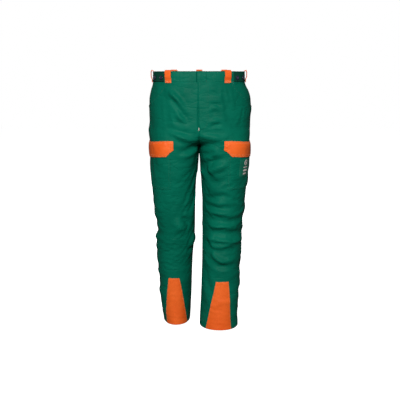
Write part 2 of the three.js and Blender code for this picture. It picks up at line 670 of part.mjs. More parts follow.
// The zip lies straight down the fly in a frame of its own: X across, Y up the chain, Z outwards.
const PULL_RISE = PULL_LENGTH * Math.sin(PULL_SWING * RAD);
const BAIL_GAP = 2.0;
const BAIL = 0.8;
const PLATE_OUTER = TEETH_THICKNESS / 2 + SLIDER_CLEARANCE + SLIDER_PLATE;
const BAR_OUT = PLATE_OUTER + BAIL_GAP / 2;
const ZIP_DEPTH = -(FACING_OUT - SHELL) + BAR_OUT + PULL_RISE + PULL_THICKNESS / 2 + 0.8;
const zipTopPoint = offForm("left", angleAt("left", -ZIP_TOP, ZIP_CENTRE), -ZIP_TOP, -ZIP_DEPTH);
const zipBottomZ = -(ZIP_TOP + ZIP_LENGTH);
const zipEndPoint = offForm("left", angleAt("left", zipBottomZ, ZIP_CENTRE), zipBottomZ, -ZIP_DEPTH);
zipTopPoint.x = ZIP_CENTRE;
zipEndPoint.x = ZIP_CENTRE;
const zipUp = zipTopPoint.clone().sub(zipEndPoint).normalize();
const zipAcross = new THREE.Vector3(1, 0, 0);
const zipOut = new THREE.Vector3().crossVectors(zipAcross, zipUp).normalize();
const zip = new THREE.Group();
zip.matrixAutoUpdate = false;
zip.matrix.makeBasis(zipAcross, zipUp, zipOut).setPosition(zipTopPoint);
trousers.add(zip);

const CHAIN_HALF = SLIDER_POST / 2 + SLIDER_CLEARANCE + TOOTH_WIDTH; // one row of teeth with the centre gap
const SPINE = 0.9; // the bead that the teeth are clenched on
const TAPE_FLAT = CHAIN_HALF + SPINE + SLIDER_CLEARANCE + SLIDER_PLATE + 1.2;

// One row of teeth on its bead: a comb cut from a plate.
function teethRow(sign) {
  const start = SLIDER_POST / 2 + SLIDER_CLEARANCE;
  const root = start + TOOTH_WIDTH;
  const outline = [[root + SPINE, 0], [root, 0]];
  const count = Math.floor((ZIP_LENGTH - 10) / TOOTH_PITCH);
  for (let i = 0; i < count; i += 1) {
    const y = -4 - i * TOOTH_PITCH - (sign < 0 ? TOOTH_PITCH / 2 : 0);
    outline.push([root, y], [start, y], [start, y - TOOTH_HEIGHT], [root, y - TOOTH_HEIGHT]);
  }
  outline.push([root, -ZIP_LENGTH + 2], [root + SPINE, -ZIP_LENGTH + 2]);
  const shape = new THREE.Shape(outline.map(([x, y]) => new THREE.Vector2(x * sign, y)));
  const geometry = new THREE.ExtrudeGeometry(shape, { depth: TEETH_THICKNESS, bevelEnabled: false });
  geometry.translate(0, 0, -TEETH_THICKNESS / 2);
  return mergedIndexed(geometry);
}
add("zip_teeth_left", teethRow(1), "metal", zip);
add("zip_teeth_right", teethRow(-1), "metal", zip);

// A tape lies flat beside the chain, then climbs to the cloth it is sewn to.
function zipTape(sign, sewnDepth, reach) {
  const start = CHAIN_HALF + SPINE + SEWN_GAP;
  const climb = ZIP_DEPTH + sewnDepth; // from the tape's own plane out to the cloth
  const half = TAPE_THICKNESS / 2;
  const line = [[start, 0], [TAPE_FLAT, 0], [lerp(TAPE_FLAT, reach, 0.7), climb - half], [reach, climb - half]];
  const path = line.map(([x, z]) => new THREE.Vector2(x, z));
  const shape = ribbonSolid(path, TAPE_THICKNESS, ZIP_LENGTH);
  // the ribbon's X, Y and Z become across, outwards and down the zip
  const across = new THREE.Vector3(sign, 0, 0);
  const m = new THREE.Matrix4().makeBasis(across, new THREE.Vector3(0, 0, 1), new THREE.Vector3(0, -1, 0));
  shape.applyMatrix4(m);
  shape.translate(0, -ZIP_LENGTH / 2, 0);
  return facingOut(shape);
}
add("zip_tape_left", zipTape(1, FACING_OUT - SHELL - 1.2, TAPE_REACH), "tape", zip);
add("zip_tape_right", zipTape(-1, -SHELL - LOOSE_GAP, TAPE_REACH + 3), "tape", zip);

const stop = new THREE.BoxGeometry(2 * (CHAIN_HALF + SPINE), 3, TEETH_THICKNESS);
stop.translate(0, -ZIP_LENGTH + 2 - SEWN_GAP - 1.5, 0);
add("zip_bottom_stop", mergedIndexed(stop), "metal", zip);

// The slider: two plates joined by a post that runs between the rows, with a bail for the pull tab.
const sliderHalf = CHAIN_HALF + SPINE + SLIDER_CLEARANCE + SLIDER_PLATE * 0.4;
const block = (w, h, d, x, y, z) => {
  const g = new THREE.BoxGeometry(w, h, d);
  g.translate(x, y, z);
  return toSolid(g);
};
const plateZ = TEETH_THICKNESS / 2 + SLIDER_CLEARANCE + SLIDER_PLATE / 2;
const sliderY = -4 - SLIDER_LENGTH / 2;
const bailSpan = 6;
const bailHeight = BAIL_GAP + BAIL;
const slider = block(2 * sliderHalf, SLIDER_LENGTH, SLIDER_PLATE, 0, sliderY, plateZ)
  .add(block(2 * sliderHalf, SLIDER_LENGTH, SLIDER_PLATE, 0, sliderY, -plateZ))
  .add(block(SLIDER_POST, 4, 2 * plateZ, 0, sliderY + SLIDER_LENGTH / 2 - 2, 0))
  .add(block(1.6, 1.2, bailHeight + 0.2, 0, sliderY + bailSpan / 2, PLATE_OUTER + bailHeight / 2 - 0.1))
  .add(block(1.6, 1.2, bailHeight + 0.2, 0, sliderY - bailSpan / 2, PLATE_OUTER + bailHeight / 2 - 0.1))
  .add(block(1.6, bailSpan + 1.2, BAIL, 0, sliderY, PLATE_OUTER + BAIL_GAP + BAIL / 2));
add("zip_slider", toGeometry(slider), "metal", zip);

// The pull tab: an eye round the bail, whose top bar is the pivot.
const pullTopY = sliderY + bailSpan / 2 - 2.2;
const eye = new THREE.Shape([
  new THREE.Vector2(-PULL_WIDTH / 2, 0.6), new THREE.Vector2(PULL_WIDTH / 2, 0.6),
  new THREE.Vector2(PULL_WIDTH / 2 - 0.8, -PULL_LENGTH), new THREE.Vector2(-PULL_WIDTH / 2 + 0.8, -PULL_LENGTH),
]);
eye.holes.push(new THREE.Path([
  new THREE.Vector2(-1.7, -0.6), new THREE.Vector2(-1.7, -6.2),
  new THREE.Vector2(1.7, -6.2), new THREE.Vector2(1.7, -0.6),
]));
const pullBody = new THREE.ExtrudeGeometry(eye, { depth: PULL_THICKNESS, bevelEnabled: false });
pullBody.translate(0, pullTopY, BAR_OUT - PULL_THICKNESS / 2);
add("zip_pull", mergedIndexed(pullBody), "metal", zip);

// The shield hangs behind the zip, sewn to the right front with the zip's right tape.
const shieldDepth = -(ZIP_DEPTH + PLATE_OUTER + SLIDER_CLEARANCE + 2);
const shieldXs = [-28, -24, -20, -14, -4, 8, 18, 28];
const shield = bentSlab(shieldXs.length - 1, FLY_ROWS, (u, z, w) => {
  const x = shieldXs[Math.round(u * (shieldXs.length - 1))];
  const t = smooth((x + 25) / 12);
  const outer = lerp(-SHELL - LOOSE_GAP - 0.2, shieldDepth, t);
  return offForm("left", angleAt("left", z, x), z, lerp(outer - 2 * SHELL, outer, w));
});
add("fly_shield", shield, "shell");

// ---------------------------------------------------------------- hip pockets
for (const side of ["left", "right"]) {
  const hip = (name, first, bottom, outer, thickness, finish) => {
    const count = STEPS - first;
    const slab = bentSlab(count, rowsFrom(PANEL_TOP - SEWN_GAP, bottom), (u, z, w) => {
      return offForm(side, across(side, z, lerp(first / STEPS, 1, u)), z, lerp(outer - thickness, outer, w));
    });
    add(`${name}_${side}`, slab, finish);
  };
  hip("hip_pocket_facing", 5, below(0.62), BAG_OUT, SHELL, "shell");
  hip("hip_pocket_bag", 4, below(0.76), BAG2_OUT, POCKETING, "pocketing");
}

// ---------------------------------------------------------------- patch pockets and flaps
const SHEET_IN = SEWN_GAP + POCKET_DEPTH;
const SHEET_OUT = SHEET_IN + SHELL;
const LOOP_TAPE_IN = SHEET_OUT + SEWN_GAP;
const HOOK_TAPE_IN = LOOP_TAPE_IN + TAPE_THICK + SEWN_GAP;
const FLAP_IN = HOOK_TAPE_IN + TAPE_THICK + 2 * SEWN_GAP;

// Where a flap is: which leg, its two ends on the round, its top, its height and its cut corners.
const FLAPS = {
  left: { side: "left", from: () => FLAP_FRONT_ANGLE, to: () => FLAP_BACK_ANGLE, top: FLAP_TOP, height: FLAP_HEIGHT },
  right: { side: "right", from: () => FLAP_FRONT_ANGLE, to: () => FLAP_BACK_ANGLE, top: FLAP_TOP, height: FLAP_HEIGHT },
  back: {
    side: "right",
    from: (z) => 360 - angleAt("right", z, BACK_POCKET_IN + BACK_POCKET_WIDTH + 3),
    to: (z) => 360 - angleAt("right", z, BACK_POCKET_IN - 3),
    top: BACK_POCKET_TOP - 12,
    height: BACK_FLAP_HEIGHT,
  },
};

function flapSolid(spec) {
  const columns = 16;
  const chamferShare = 0.13;
  const rows = [0, 0.06, 0.16, 0.28, 0.52, 0.76, 1];
  return bentSlab(columns, rows, (u, v, w) => {
    const corner = Math.min(u, 1 - u) / chamferShare;
    const length = spec.height - FLAP_CHAMFER * Math.max(0, 1 - corner);
    const z = -spec.top - v * length;
    const stand = lerp(1.3, FLAP_IN, smooth((v * length) / 14));
    const angle = lerp(spec.from(z), spec.to(z), u);
    return offForm(spec.side, angle, z, lerp(stand, stand + FLAP_THICKNESS, w));
  });
}

// A patch pocket: a shallow tray open at the top and at its back, which lies on the leg.
function pocketSolid(side, from, to, top, height, columns) {
  const rows = rowsFrom(-top, -top - height);
  const outer = bentSlab(columns, rows, (u, z, w) =>
    offForm(side, lerp(from(z), to(z), u), z, lerp(SEWN_GAP, SHEET_OUT, w)));
  const wall = 1.6;
  const inset = 0.014; // share of the width taken by each side wall
  const cutRows = rowsFrom(-top + 3, -top - height + wall);
  const inner = bentSlab(columns, cutRows, (u, z, w) =>
    offForm(side, lerp(from(z), to(z), lerp(inset, 1 - inset, u)), z, lerp(-3, SHEET_IN, w)));
  return toGeometry(toSolid(outer).subtract(toSolid(inner)));
}

function tapeSolid(side, from, to, zTop, inner) {
  const rows = evenly(zTop, zTop - TAPE_HEIGHT, 2);
  return bentSlab(12, rows, (u, z, w) =>
    offForm(side, lerp(from(z), to(z), u), z, lerp(inner, inner + TAPE_THICK, w)));
}

const TAPE_DROP = 36; // from a flap's top to its tapes
for (const [key, spec] of Object.entries(FLAPS)) {
  const thigh = key !== "back";
  const name = thigh ? "thigh" : "back";
  const end = thigh ? `_${key}` : "";
  const grow = thigh ? POCKET_MARGIN : 0;
  const from = (z) => spec.from(z) + grow;
  const to = (z) => spec.to(z) - grow;
  const narrow = thigh ? 22 : 12;
  add(`${name}_flap${end}`, flapSolid(spec), thigh ? "orange" : "shell");
  const top = spec.top + (thigh ? POCKET_MOUTH : 12);
  const height = thigh ? THIGH_POCKET_HEIGHT : BACK_POCKET_HEIGHT;
  const margin = thigh ? 0 : 1.6;
  const solid = pocketSolid(spec.side, (z) => from(z) + margin, (z) => to(z) - margin, top, height, thigh ? 14 : 12);
  add(`${name}_pocket${end}`, solid, "shell");
  const zTape = -(spec.top + TAPE_DROP);
  const tapeFrom = (z) => from(z) + narrow;
  const tapeTo = (z) => to(z) - narrow;
  add(`${name}_loop_tape${end}`, tapeSolid(spec.side, tapeFrom, tapeTo, zTape, LOOP_TAPE_IN), "hook");
  add(`${name}_hook_tape${end}`, tapeSolid(spec.side, tapeFrom, tapeTo, zTape, HOOK_TAPE_IN), "hook");
}

// ---------------------------------------------------------------- ankle panels, badge and label
const ANKLE_BENDS = rowsFrom(HEM + ANKLE_TOP, HEM + SEWN_GAP);
const ANKLE_ROWS = ANKLE_BENDS.flatMap((z, i) => (i ? [(ANKLE_BENDS[i - 1] + z) / 2, z] : [z]));
for (const side of ["left", "right"]) {
  const panel = bentSlab(12, ANKLE_ROWS, (u, z, w) => {
    const v = (HEM + ANKLE_TOP - z) / ANKLE_TOP;
    const from = lerp(ANKLE_TOP_FRONT, ANKLE_HEM_FRONT, v);
    const to = lerp(ANKLE_TOP_SIDE, ANKLE_HEM_SIDE, v);
    return offForm(side, lerp(from, to, u), z, 2 * SEWN_GAP + w * SHELL);
  });
  add(`ankle_panel_${side}`, panel, "orange");
}

const BADGE_TOP = FLAP_TOP + FLAP_HEIGHT + 12;
const badge = bentSlab(6, evenly(-BADGE_TOP, -BADGE_TOP - 68, 3), (u, z, w) =>
  offForm("left", lerp(150, 182, u), z, lerp(SHEET_OUT + SEWN_GAP, SHEET_OUT + SEWN_GAP + 0.5, w)));
add("leg_badge", badge, "badge");

// A care label hangs inside the back of the waistband, clear of the lining.
const label = bentSlab(4, [-BAND_HEIGHT + 12, -BAND_HEIGHT + 1, -BAND_HEIGHT - 16, -BAND_HEIGHT - 36], (u, z, w) => {
  const onBandFace = BAND_IN - SEWN_GAP;
  const out = z > -BAND_HEIGHT ? onBandFace : Math.min(onBandFace, liningDepth(z) - LINING - 1.2);
  return onBand(lerp(176, 184, u), z, lerp(out - 0.5, out, w));
});
add("care_label", label, "label");

export default trousers;
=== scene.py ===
# %% [markdown]
# Chainsaw-protection trousers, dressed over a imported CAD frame.
# The CAD model already holds every piece of the garment as a thin, stiff solid in its right place.
# What it can't hold is cloth: soft folds, puckered seams, thread and weave.
# This lesson keeps the CAD sizes and adds the cloth. Everything is in metres, with +Z up, the wearer
# facing -Y and the wearer's left leg at +X. The origin is the centre of the waist opening.

# %% Load the frame
import math
import time

import bmesh
import bpy
import numpy as np
from mathutils import Matrix, Vector, kdtree, noise


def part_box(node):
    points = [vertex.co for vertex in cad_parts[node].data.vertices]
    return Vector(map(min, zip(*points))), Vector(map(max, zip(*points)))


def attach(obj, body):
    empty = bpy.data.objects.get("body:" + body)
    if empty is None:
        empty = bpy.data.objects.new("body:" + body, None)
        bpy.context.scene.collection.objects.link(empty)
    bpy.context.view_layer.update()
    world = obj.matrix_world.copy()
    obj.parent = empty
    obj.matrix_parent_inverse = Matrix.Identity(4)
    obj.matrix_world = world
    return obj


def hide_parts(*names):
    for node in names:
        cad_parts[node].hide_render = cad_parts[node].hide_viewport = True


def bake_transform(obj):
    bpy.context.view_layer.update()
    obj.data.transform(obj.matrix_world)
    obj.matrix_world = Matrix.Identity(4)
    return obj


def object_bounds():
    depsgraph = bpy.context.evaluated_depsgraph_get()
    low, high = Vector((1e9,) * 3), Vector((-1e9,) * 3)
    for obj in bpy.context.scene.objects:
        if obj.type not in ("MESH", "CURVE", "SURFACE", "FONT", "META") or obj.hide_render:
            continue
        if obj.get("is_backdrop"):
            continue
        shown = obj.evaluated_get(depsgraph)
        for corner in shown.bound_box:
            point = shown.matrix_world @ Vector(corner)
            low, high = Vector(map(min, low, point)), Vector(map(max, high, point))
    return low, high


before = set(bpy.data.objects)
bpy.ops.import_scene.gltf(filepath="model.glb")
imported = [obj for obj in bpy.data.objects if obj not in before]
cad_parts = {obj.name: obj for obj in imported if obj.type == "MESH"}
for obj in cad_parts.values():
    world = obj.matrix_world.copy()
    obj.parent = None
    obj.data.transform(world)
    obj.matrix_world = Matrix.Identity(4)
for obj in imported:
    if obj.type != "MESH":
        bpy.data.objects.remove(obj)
cad_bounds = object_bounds()
MM = 0.001
started = time.time()
print("CAD box", [[round(v, 3) for v in corner] for corner in cad_bounds])

# %% [markdown]
# The body form. Trousers are two tubes that share one top. Each half is described by how far it
# reaches outwards, inwards, forwards and back at a few heights, joined by smooth curves. The same
# figures shaped the CAD solids, so cloth laid on this form lies where its solid does.

# %% Heights of the trousers
RISE = 0.285  # top of the waistband to the crotch
INSEAM = 0.729
BAND = 0.038  # height of the waistband
HEM = -(RISE + INSEAM)
CROTCH = -RISE
FORK = -RISE * 0.75
FLY_END = -0.210  # the fly opens down to here


def below(share):
    """A height on the body: 0 at the waist, 1 at the crotch."""
    return -RISE * share


def down(share):
    """A height on the leg: 0 at the crotch, 1 at the hem."""
    return CROTCH - share * INSEAM


print("outseam", RISE + INSEAM, "hem at", HEM)

# %% Outlines of the two halves
W, H, F, B = 0.183, 0.206, -0.122, 0.128  # half-waist, half-hip, front and back of the waist


def table(*rows):
    """(height, value in millimetres added to a base) rows, highest first."""
    return [(z, base + add * MM) for z, base, add in rows]


FORM = {
    "left": dict(
        sign=1,
        out=table((below(0), W, 0), (below(0.135), W, 2), (below(0.27), (W + H) / 2, 3), (below(0.41), H, 0),
                  (below(0.54), H, 2), (below(0.76), H, -1), (down(0), H, -2), (down(0.063), H, -4),
                  (down(0.2), H, -12), (down(0.33), H, -22), (down(0.47), H, -30), (down(0.57), H, -32),
                  (down(0.77), H, -38), (down(0.92), H, -43), (down(1), H, -45)),
        gap=table((down(0), 0, 0.6), (down(0.063), 0, 1.6), (down(0.2), 0, 8), (down(0.33), 0, 12),
                  (down(0.57), 0, 12), (down(0.77), 0, 9), (down(0.92), 0, 4), (down(1), 0, 1)),
        front=table((below(0), F, 0), (below(0.78), F, -10), (down(0), F, -9), (down(0.063), F, -5),
                    (down(0.2), F, 4), (down(0.33), F, 9), (down(0.47), F, 9), (down(0.77), F, 3),
                    (down(1), F, -6)),
        back=table((below(0), B, 0), (below(0.135), B, 7), (below(0.41), B, 24), (below(0.76), B, 34),
                   (down(0), B, 20), (down(0.063), B, 6), (down(0.2), B, -20), (down(0.33), B, -38),
                   (down(0.47), B, -52), (down(0.77), B, -66), (down(1), B, -84)),
    ),
    "right": dict(
        sign=-1,
        out=table((below(0), W, 0), (below(0.135), W, 2), (below(0.27), (W + H) / 2, -2),
                  (below(0.41), H, -7),
                  (below(0.54), H, -6), (below(0.76), H, -5), (down(0), H, -7), (down(0.063), H, -10),
                  (down(0.2), H, -14), (down(0.33), H, -20), (down(0.4), H, -28), (down(0.47), H, -33),
                  (down(0.57), H, -30), (down(0.77), H, -38), (down(0.92), H, -45), (down(1), H, -56)),
        gap=table((down(0), 0, 0.6), (down(0.063), 0, 1.6), (down(0.2), 0, 12), (down(0.33), 0, 16),
                  (down(0.47), 0, 17), (down(0.63), 0, 27), (down(0.77), 0, 31), (down(0.92), 0, 35),
                  (down(1), 0, 38)),
        front=table((below(0), F, 0), (below(0.78), F, -10), (down(0), F, -9), (down(0.063), F, -5),
                    (down(0.2), F, 7), (down(0.33), F, 22), (down(0.47), F, 34), (down(0.77), F, 54),
                    (down(1), F, 56)),
        back=table((below(0), B, 0), (below(0.135), B, 7), (below(0.41), B, 24), (below(0.76), B, 34),
                   (down(0), B, 20), (down(0.063), B, 6), (down(0.2), B, -16), (down(0.33), B, -26),
                   (down(0.47), B, -26), (down(0.77), B, -10), (down(1), B, 6)),
    ),
}
SQUARENESS = [(below(0), 2.4), (down(0), 2.5), (down(0.2), 2.1), (down(1), 2.05)]


def along(pairs, at):
    """A smooth curve through (position, value) pairs, highest position first, that never overshoots."""
    xs = np.array([p[0] for p in pairs])[::-1]
    ys = np.array([p[1] for p in pairs])[::-1]
    slope = np.diff(ys) / np.diff(xs)
    tangent = np.zeros(len(xs))
    tangent[0], tangent[-1] = slope[0], slope[-1]
    before, after = slope[:-1], slope[1:]
    both = before * after > 0
    tangent[1:-1][both] = 2 * before[both] * after[both] / (before[both] + after[both])
    at = np.clip(np.asarray(at, float), xs[0], xs[-1])
    i = np.clip(np.searchsorted(xs, at, side="right") - 1, 0, len(xs) - 2)
    span = xs[i + 1] - xs[i]
    t = (at - xs[i]) / span
    return ((2 * t**3 - 3 * t**2 + 1) * ys[i] + (t**3 - 2 * t**2 + t) * span * tangent[i]
            + (-2 * t**3 + 3 * t**2) * ys[i + 1] + (t**3 - t**2) * span * tangent[i + 1])


def section(side, z):
    """The oval of one half at a height: centre, half-widths and squareness."""
    form, z = FORM[side], np.asarray(z, float)
    power = along(SQUARENESS, z)
    out = along(form["out"], z)
    t = np.clip((FORK - z) / (FORK - CROTCH), 0, 1)
    joined = (1 - t**3) ** 0.6
    k = (1 - joined**power) ** (1 / power)
    first_gap = form["gap"][0][1]
    fork = np.minimum(-out * (1 - k) / (1 + k) + first_gap * t, first_gap)
    inner = np.where(z > CROTCH, fork, along(form["gap"], z))
    front, back = along(form["front"], z), along(form["back"], z)
    return (out + inner) / 2, (out - inner) / 2, (front + back) / 2, (back - front) / 2, power


def on_form(side, angle, z):
    """A point of the cloth's outer face. Angle 0 is the inseam, 90 the front, 180 the side, 270 the back."""
    cx, a, cy, b, power = section(side, z)
    c, s = np.cos(np.radians(angle)), np.sin(np.radians(angle))
    x = cx - a * np.sign(c) * np.abs(c) ** (2 / power)
    y = cy - b * np.sign(s) * np.abs(s) ** (2 / power)
    x, y, z = np.broadcast_arrays(x * FORM[side]["sign"], y, z)
    return np.stack([x, y, z], -1)


def angle_at(side, z, x):
    """The angle on the front whose point is this far from the centre plane."""
    cx, a, _, _, power = section(side, z)
    c = np.clip((cx - x) / a, -1, 1)
    return np.degrees(np.arccos(np.sign(c) * np.abs(c) ** (power / 2)))


for side, node in (("left", "front_panel_left"), ("right", "front_panel_right")):
    low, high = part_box(node)
    reach = on_form(side, 180, np.linspace(-0.05, HEM, 200))[:, 0]
    print(node, "CAD reaches", round(max(abs(low.x), abs(high.x)), 4), "form reaches",
          round(np.abs(reach).max(), 4))


# %% [markdown]
# The camera stands in front of the garment at the height of the waistband and looks a little down.
# It comes first, so that every later step can be judged through it. The light is a soft studio key
# in front and a little to one side, with the sides left darker, because satin-faced workwear cloth
# shows its roundness by the way it darkens as it turns away.

# %% Camera
scene = bpy.context.scene
scene.view_settings.view_transform = "Standard"
CAMERA_TILT, CAMERA_LENS = 10.9, 62.6  # degrees down, millimetres
lens = bpy.data.cameras.new("camera")
lens.lens, lens.sensor_width = CAMERA_LENS, 36
camera = bpy.data.objects.new("camera", lens)
camera.location = (0.003, -2.75, 0.02)
camera.rotation_euler = (math.radians(90 - CAMERA_TILT), 0, 0)
scene.collection.objects.link(camera)
scene.camera = camera
print("camera looks down", CAMERA_TILT, "degrees from", tuple(round(v, 2) for v in camera.location))


# %% Lights and floor
AMBIENT = 0.10  # light from all round, which keeps the shaded side readable


def soft_box(name, place, aim, size, power):
    """A large square lamp, turned towards a point."""
    data = bpy.data.lights.new(name, "AREA")
    data.energy, data.size = power, size
    lamp = bpy.data.objects.new(name, data)
    lamp.location = place
    lamp.rotation_euler = (Vector(aim) - Vector(place)).to_track_quat("-Z", "Y").to_euler()
    lamp.visible_camera = False
    scene.collection.objects.link(lamp)
    return lamp


soft_box("key", (-0.30, -3.1, 1.2), (0, 0, -0.52), 0.8, 124)
soft_box("fill", (2.2, -2.2, 0.3), (0, 0, -0.6), 1.6, 4)
soft_box("rear", (0, 3.2, 1.4), (0, 0, -0.5), 1.2, 80)

world = bpy.data.worlds.new("studio")
world.use_nodes = True
wn = world.node_tree
wn.nodes.clear()
seen, lit = wn.nodes.new("ShaderNodeBackground"), wn.nodes.new("ShaderNodeBackground")
seen.inputs[0].default_value, seen.inputs[1].default_value = (1, 1, 1, 1), 1.0
lit.inputs[0].default_value, lit.inputs[1].default_value = (1, 1, 1, 1), AMBIENT
path, pick, out = (wn.nodes.new("ShaderNodeLightPath"), wn.nodes.new("ShaderNodeMixShader"),
                   wn.nodes.new("ShaderNodeOutputWorld"))
wn.links.new(path.outputs["Is Camera Ray"], pick.inputs[0])
wn.links.new(lit.outputs[0], pick.inputs[1])
wn.links.new(seen.outputs[0], pick.inputs[2])
wn.links.new(pick.outputs[0], out.inputs[0])
scene.world = world

bm = bmesh.new()
bmesh.ops.create_grid(bm, x_segments=1, y_segments=1, size=9, matrix=Matrix.Translation((0, 0, HEM - 0.004)))
floor_mesh = bpy.data.meshes.new("floor")
bm.to_mesh(floor_mesh)
bm.free()
floor = bpy.data.objects.new("floor", floor_mesh)
scene.collection.objects.link(floor)
floor.visible_diffuse = floor.visible_glossy = False  # the paper glows only for the camera
paper = bpy.data.materials.new("paper")
paper.use_nodes = True
sheen = paper.node_tree.nodes["Principled BSDF"]
sheen.inputs["Base Color"].default_value = (0.9, 0.9, 0.9, 1)
sheen.inputs["Roughness"].default_value = 0.9
sheen.inputs["Specular IOR Level"].default_value = 0.1
sheen.inputs["Emission Color"].default_value = (1, 1, 1, 1)
sheen.inputs["Emission Strength"].default_value = 0.90
floor_mesh.materials.append(paper)
floor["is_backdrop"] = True
print("floor at", round(HEM - 0.004, 4))


# %% [markdown]
# Folds. Heavy trousers lined with many layers of padding don't crumple into small creases: they
# buckle into long soft ridges that start where the cloth is held, at the fly, the crotch, the
# pocket corners and the back of the knee. Each fold is written here as a line on the front of the
# leg with a width and a height. A cloth simulation then lets the whole leg settle between them.

# %% Fold lines
# (leg, [(x, z), ...] along the crest, half-width, height), in metres; a negative height is a valley
FOLDS = [
    ("right", [(-0.120, -0.067), (-0.080, -0.108), (-0.035, -0.177)], 0.009, 0.0050),
    ("right", [(-0.100, -0.105), (-0.066, -0.148), (-0.026, -0.209)], 0.007, -0.0045),
    ("right", [(-0.090, -0.143), (-0.062, -0.182), (-0.034, -0.218)], 0.009, 0.0035),
    ("right", [(-0.110, -0.216), (-0.060, -0.232), (-0.008, -0.245)], 0.008, -0.0040),
    ("right", [(-0.100, -0.237), (-0.055, -0.251), (-0.010, -0.260)], 0.009, 0.0036),
    ("right", [(-0.080, -0.308), (-0.045, -0.298), (-0.008, -0.283)], 0.007, -0.0042),
    ("right", [(-0.070, -0.330), (-0.035, -0.318), (-0.008, -0.301)], 0.008, 0.0030),
    ("left", [(0.036, -0.081), (0.058, -0.082), (0.075, -0.078)], 0.006, -0.0022),
    ("left", [(0.036, -0.126), (0.060, -0.124), (0.082, -0.121)], 0.006, -0.0028),
    ("left", [(0.038, -0.139), (0.060, -0.138), (0.080, -0.136)], 0.007, 0.0022),
    ("left", [(0.036, -0.161), (0.055, -0.151), (0.072, -0.143)], 0.006, -0.0022),
    ("left", [(0.034, -0.212), (0.058, -0.202), (0.085, -0.193)], 0.006, -0.0045),
    ("left", [(0.036, -0.197), (0.060, -0.187), (0.090, -0.182)], 0.008, 0.0030),
    ("left", [(0.002, -0.228), (0.050, -0.232), (0.100, -0.235)], 0.007, -0.0038),
    ("left", [(0.006, -0.245), (0.050, -0.251), (0.090, -0.256)], 0.008, 0.0028),
    ("left", [(0.008, -0.287), (0.040, -0.279), (0.075, -0.279)], 0.008, -0.0030),
    ("left", [(0.022, -0.360), (0.058, -0.344), (0.098, -0.331)], 0.009, -0.0062),
    ("left", [(0.020, -0.394), (0.058, -0.375), (0.102, -0.358)], 0.011, 0.0058),
    ("left", [(0.022, -0.365), (0.027, -0.385), (0.038, -0.406)], 0.007, -0.0050),
    ("left", [(0.030, -0.430), (0.065, -0.427), (0.110, -0.409)], 0.010, -0.0035),
    ("left", [(0.024, -0.497), (0.060, -0.490), (0.105, -0.478)], 0.009, -0.0035),
    ("left", [(0.035, -0.528), (0.075, -0.536), (0.120, -0.532)], 0.008, -0.0048),
    ("left", [(0.045, -0.547), (0.085, -0.551), (0.125, -0.549)], 0.009, 0.0040),
    ("left", [(0.034, -0.605), (0.070, -0.606), (0.105, -0.601)], 0.009, 0.0058),
    ("left", [(0.080, -0.635), (0.125, -0.639), (0.172, -0.635)], 0.011, -0.0078),
    ("left", [(0.040, -0.585), (0.100, -0.589), (0.165, -0.576)], 0.008, -0.0040),
    ("left", [(0.040, -0.660), (0.080, -0.666), (0.165, -0.670)], 0.010, 0.0046),
    ("left", [(0.040, -0.706), (0.085, -0.710), (0.130, -0.704)], 0.008, -0.0050),
    ("left", [(0.050, -0.691), (0.090, -0.691), (0.140, -0.685)], 0.008, 0.0036),
    ("left", [(0.040, -0.742), (0.075, -0.773), (0.125, -0.771)], 0.009, -0.0056),
    ("left", [(0.050, -0.735), (0.090, -0.750), (0.140, -0.742)], 0.010, 0.0046),
    ("left", [(0.022, -0.641), (0.030, -0.689), (0.045, -0.737)], 0.009, -0.0040),
    ("left", [(0.010, -0.765), (0.030, -0.842), (0.055, -0.918)], 0.010, -0.0034),
    ("right", [(-0.082, -0.570), (-0.055, -0.595), (-0.030, -0.639)], 0.012, -0.0060),
    ("right", [(-0.095, -0.564), (-0.078, -0.603), (-0.060, -0.650)], 0.014, 0.0036),
    ("right", [(-0.050, -0.708), (-0.034, -0.716), (-0.020, -0.712)], 0.008, -0.0050),
]
# (leg, angle round the leg, z, half-width round, half-width up, height): buckles at the silhouette
BUMPS = [
    ("right", 178, -0.652, 24, 0.010, 0.0095), ("right", 178, -0.630, 24, 0.010, -0.0050),
    ("right", 182, -0.690, 26, 0.014, 0.0035), ("right", 4, -0.639, 26, 0.010, -0.0055),
    ("right", 2, -0.666, 26, 0.013, 0.0055), ("right", 180, -0.560, 24, 0.016, 0.0040),
    ("right", 180, -0.804, 24, 0.010, 0.0040), ("right", 180, -0.890, 24, 0.012, 0.0035),
    ("left", 180, -0.536, 24, 0.014, 0.0048), ("left", 182, -0.574, 24, 0.010, -0.0040),
    ("left", 180, -0.612, 24, 0.010, 0.0040), ("left", 180, -0.765, 24, 0.012, -0.0035),
    ("left", 180, -0.842, 24, 0.014, 0.0035), ("left", 2, -0.392, 24, 0.012, 0.0040),
    ("right", 358, -0.383, 24, 0.012, 0.0040), ("right", 180, -0.191, 18, 0.010, -0.0030),
    ("right", 180, -0.222, 18, 0.010, 0.0028), ("left", 180, -0.182, 18, 0.012, -0.0026),
]
LENGTH_TRIM = 0.975  # the fold heights above are for the untrimmed leg
FOLD_DEPTH = 1.90
WAIST_TAKE_IN = {"left": 0.0075, "right": 0.0050}
FLAP_PRESS = 0.0040  # the flaps and what lies under them press the padding in
THIGHS_MEET = 0.0036  # below the crotch the padded legs press together
TAKE_IN = {"left": 0.0070, "right": 0.0045}  # the legs hang a little slimmer than the form at their sides
print(len(FOLDS), "folds and", len(BUMPS), "buckles")


# %% [markdown]
# The drape is kept as a field: for each leg, how far the cloth has moved from the body form at every
# height and angle. Any piece laid on the form reads the same field, so a pocket, its flap and
# the stitching on it all follow the cloth underneath.

# %% Grid of the drape
TOP_ROW, ROW_STEP, COLUMNS = 0.006, 0.006, 112
ROW_COUNT = int(math.ceil((TOP_ROW - HEM) / ROW_STEP)) + 2
row_z = TOP_ROW - ROW_STEP * np.arange(ROW_COUNT)
share = np.linspace(0, 1, COLUMNS + 1)


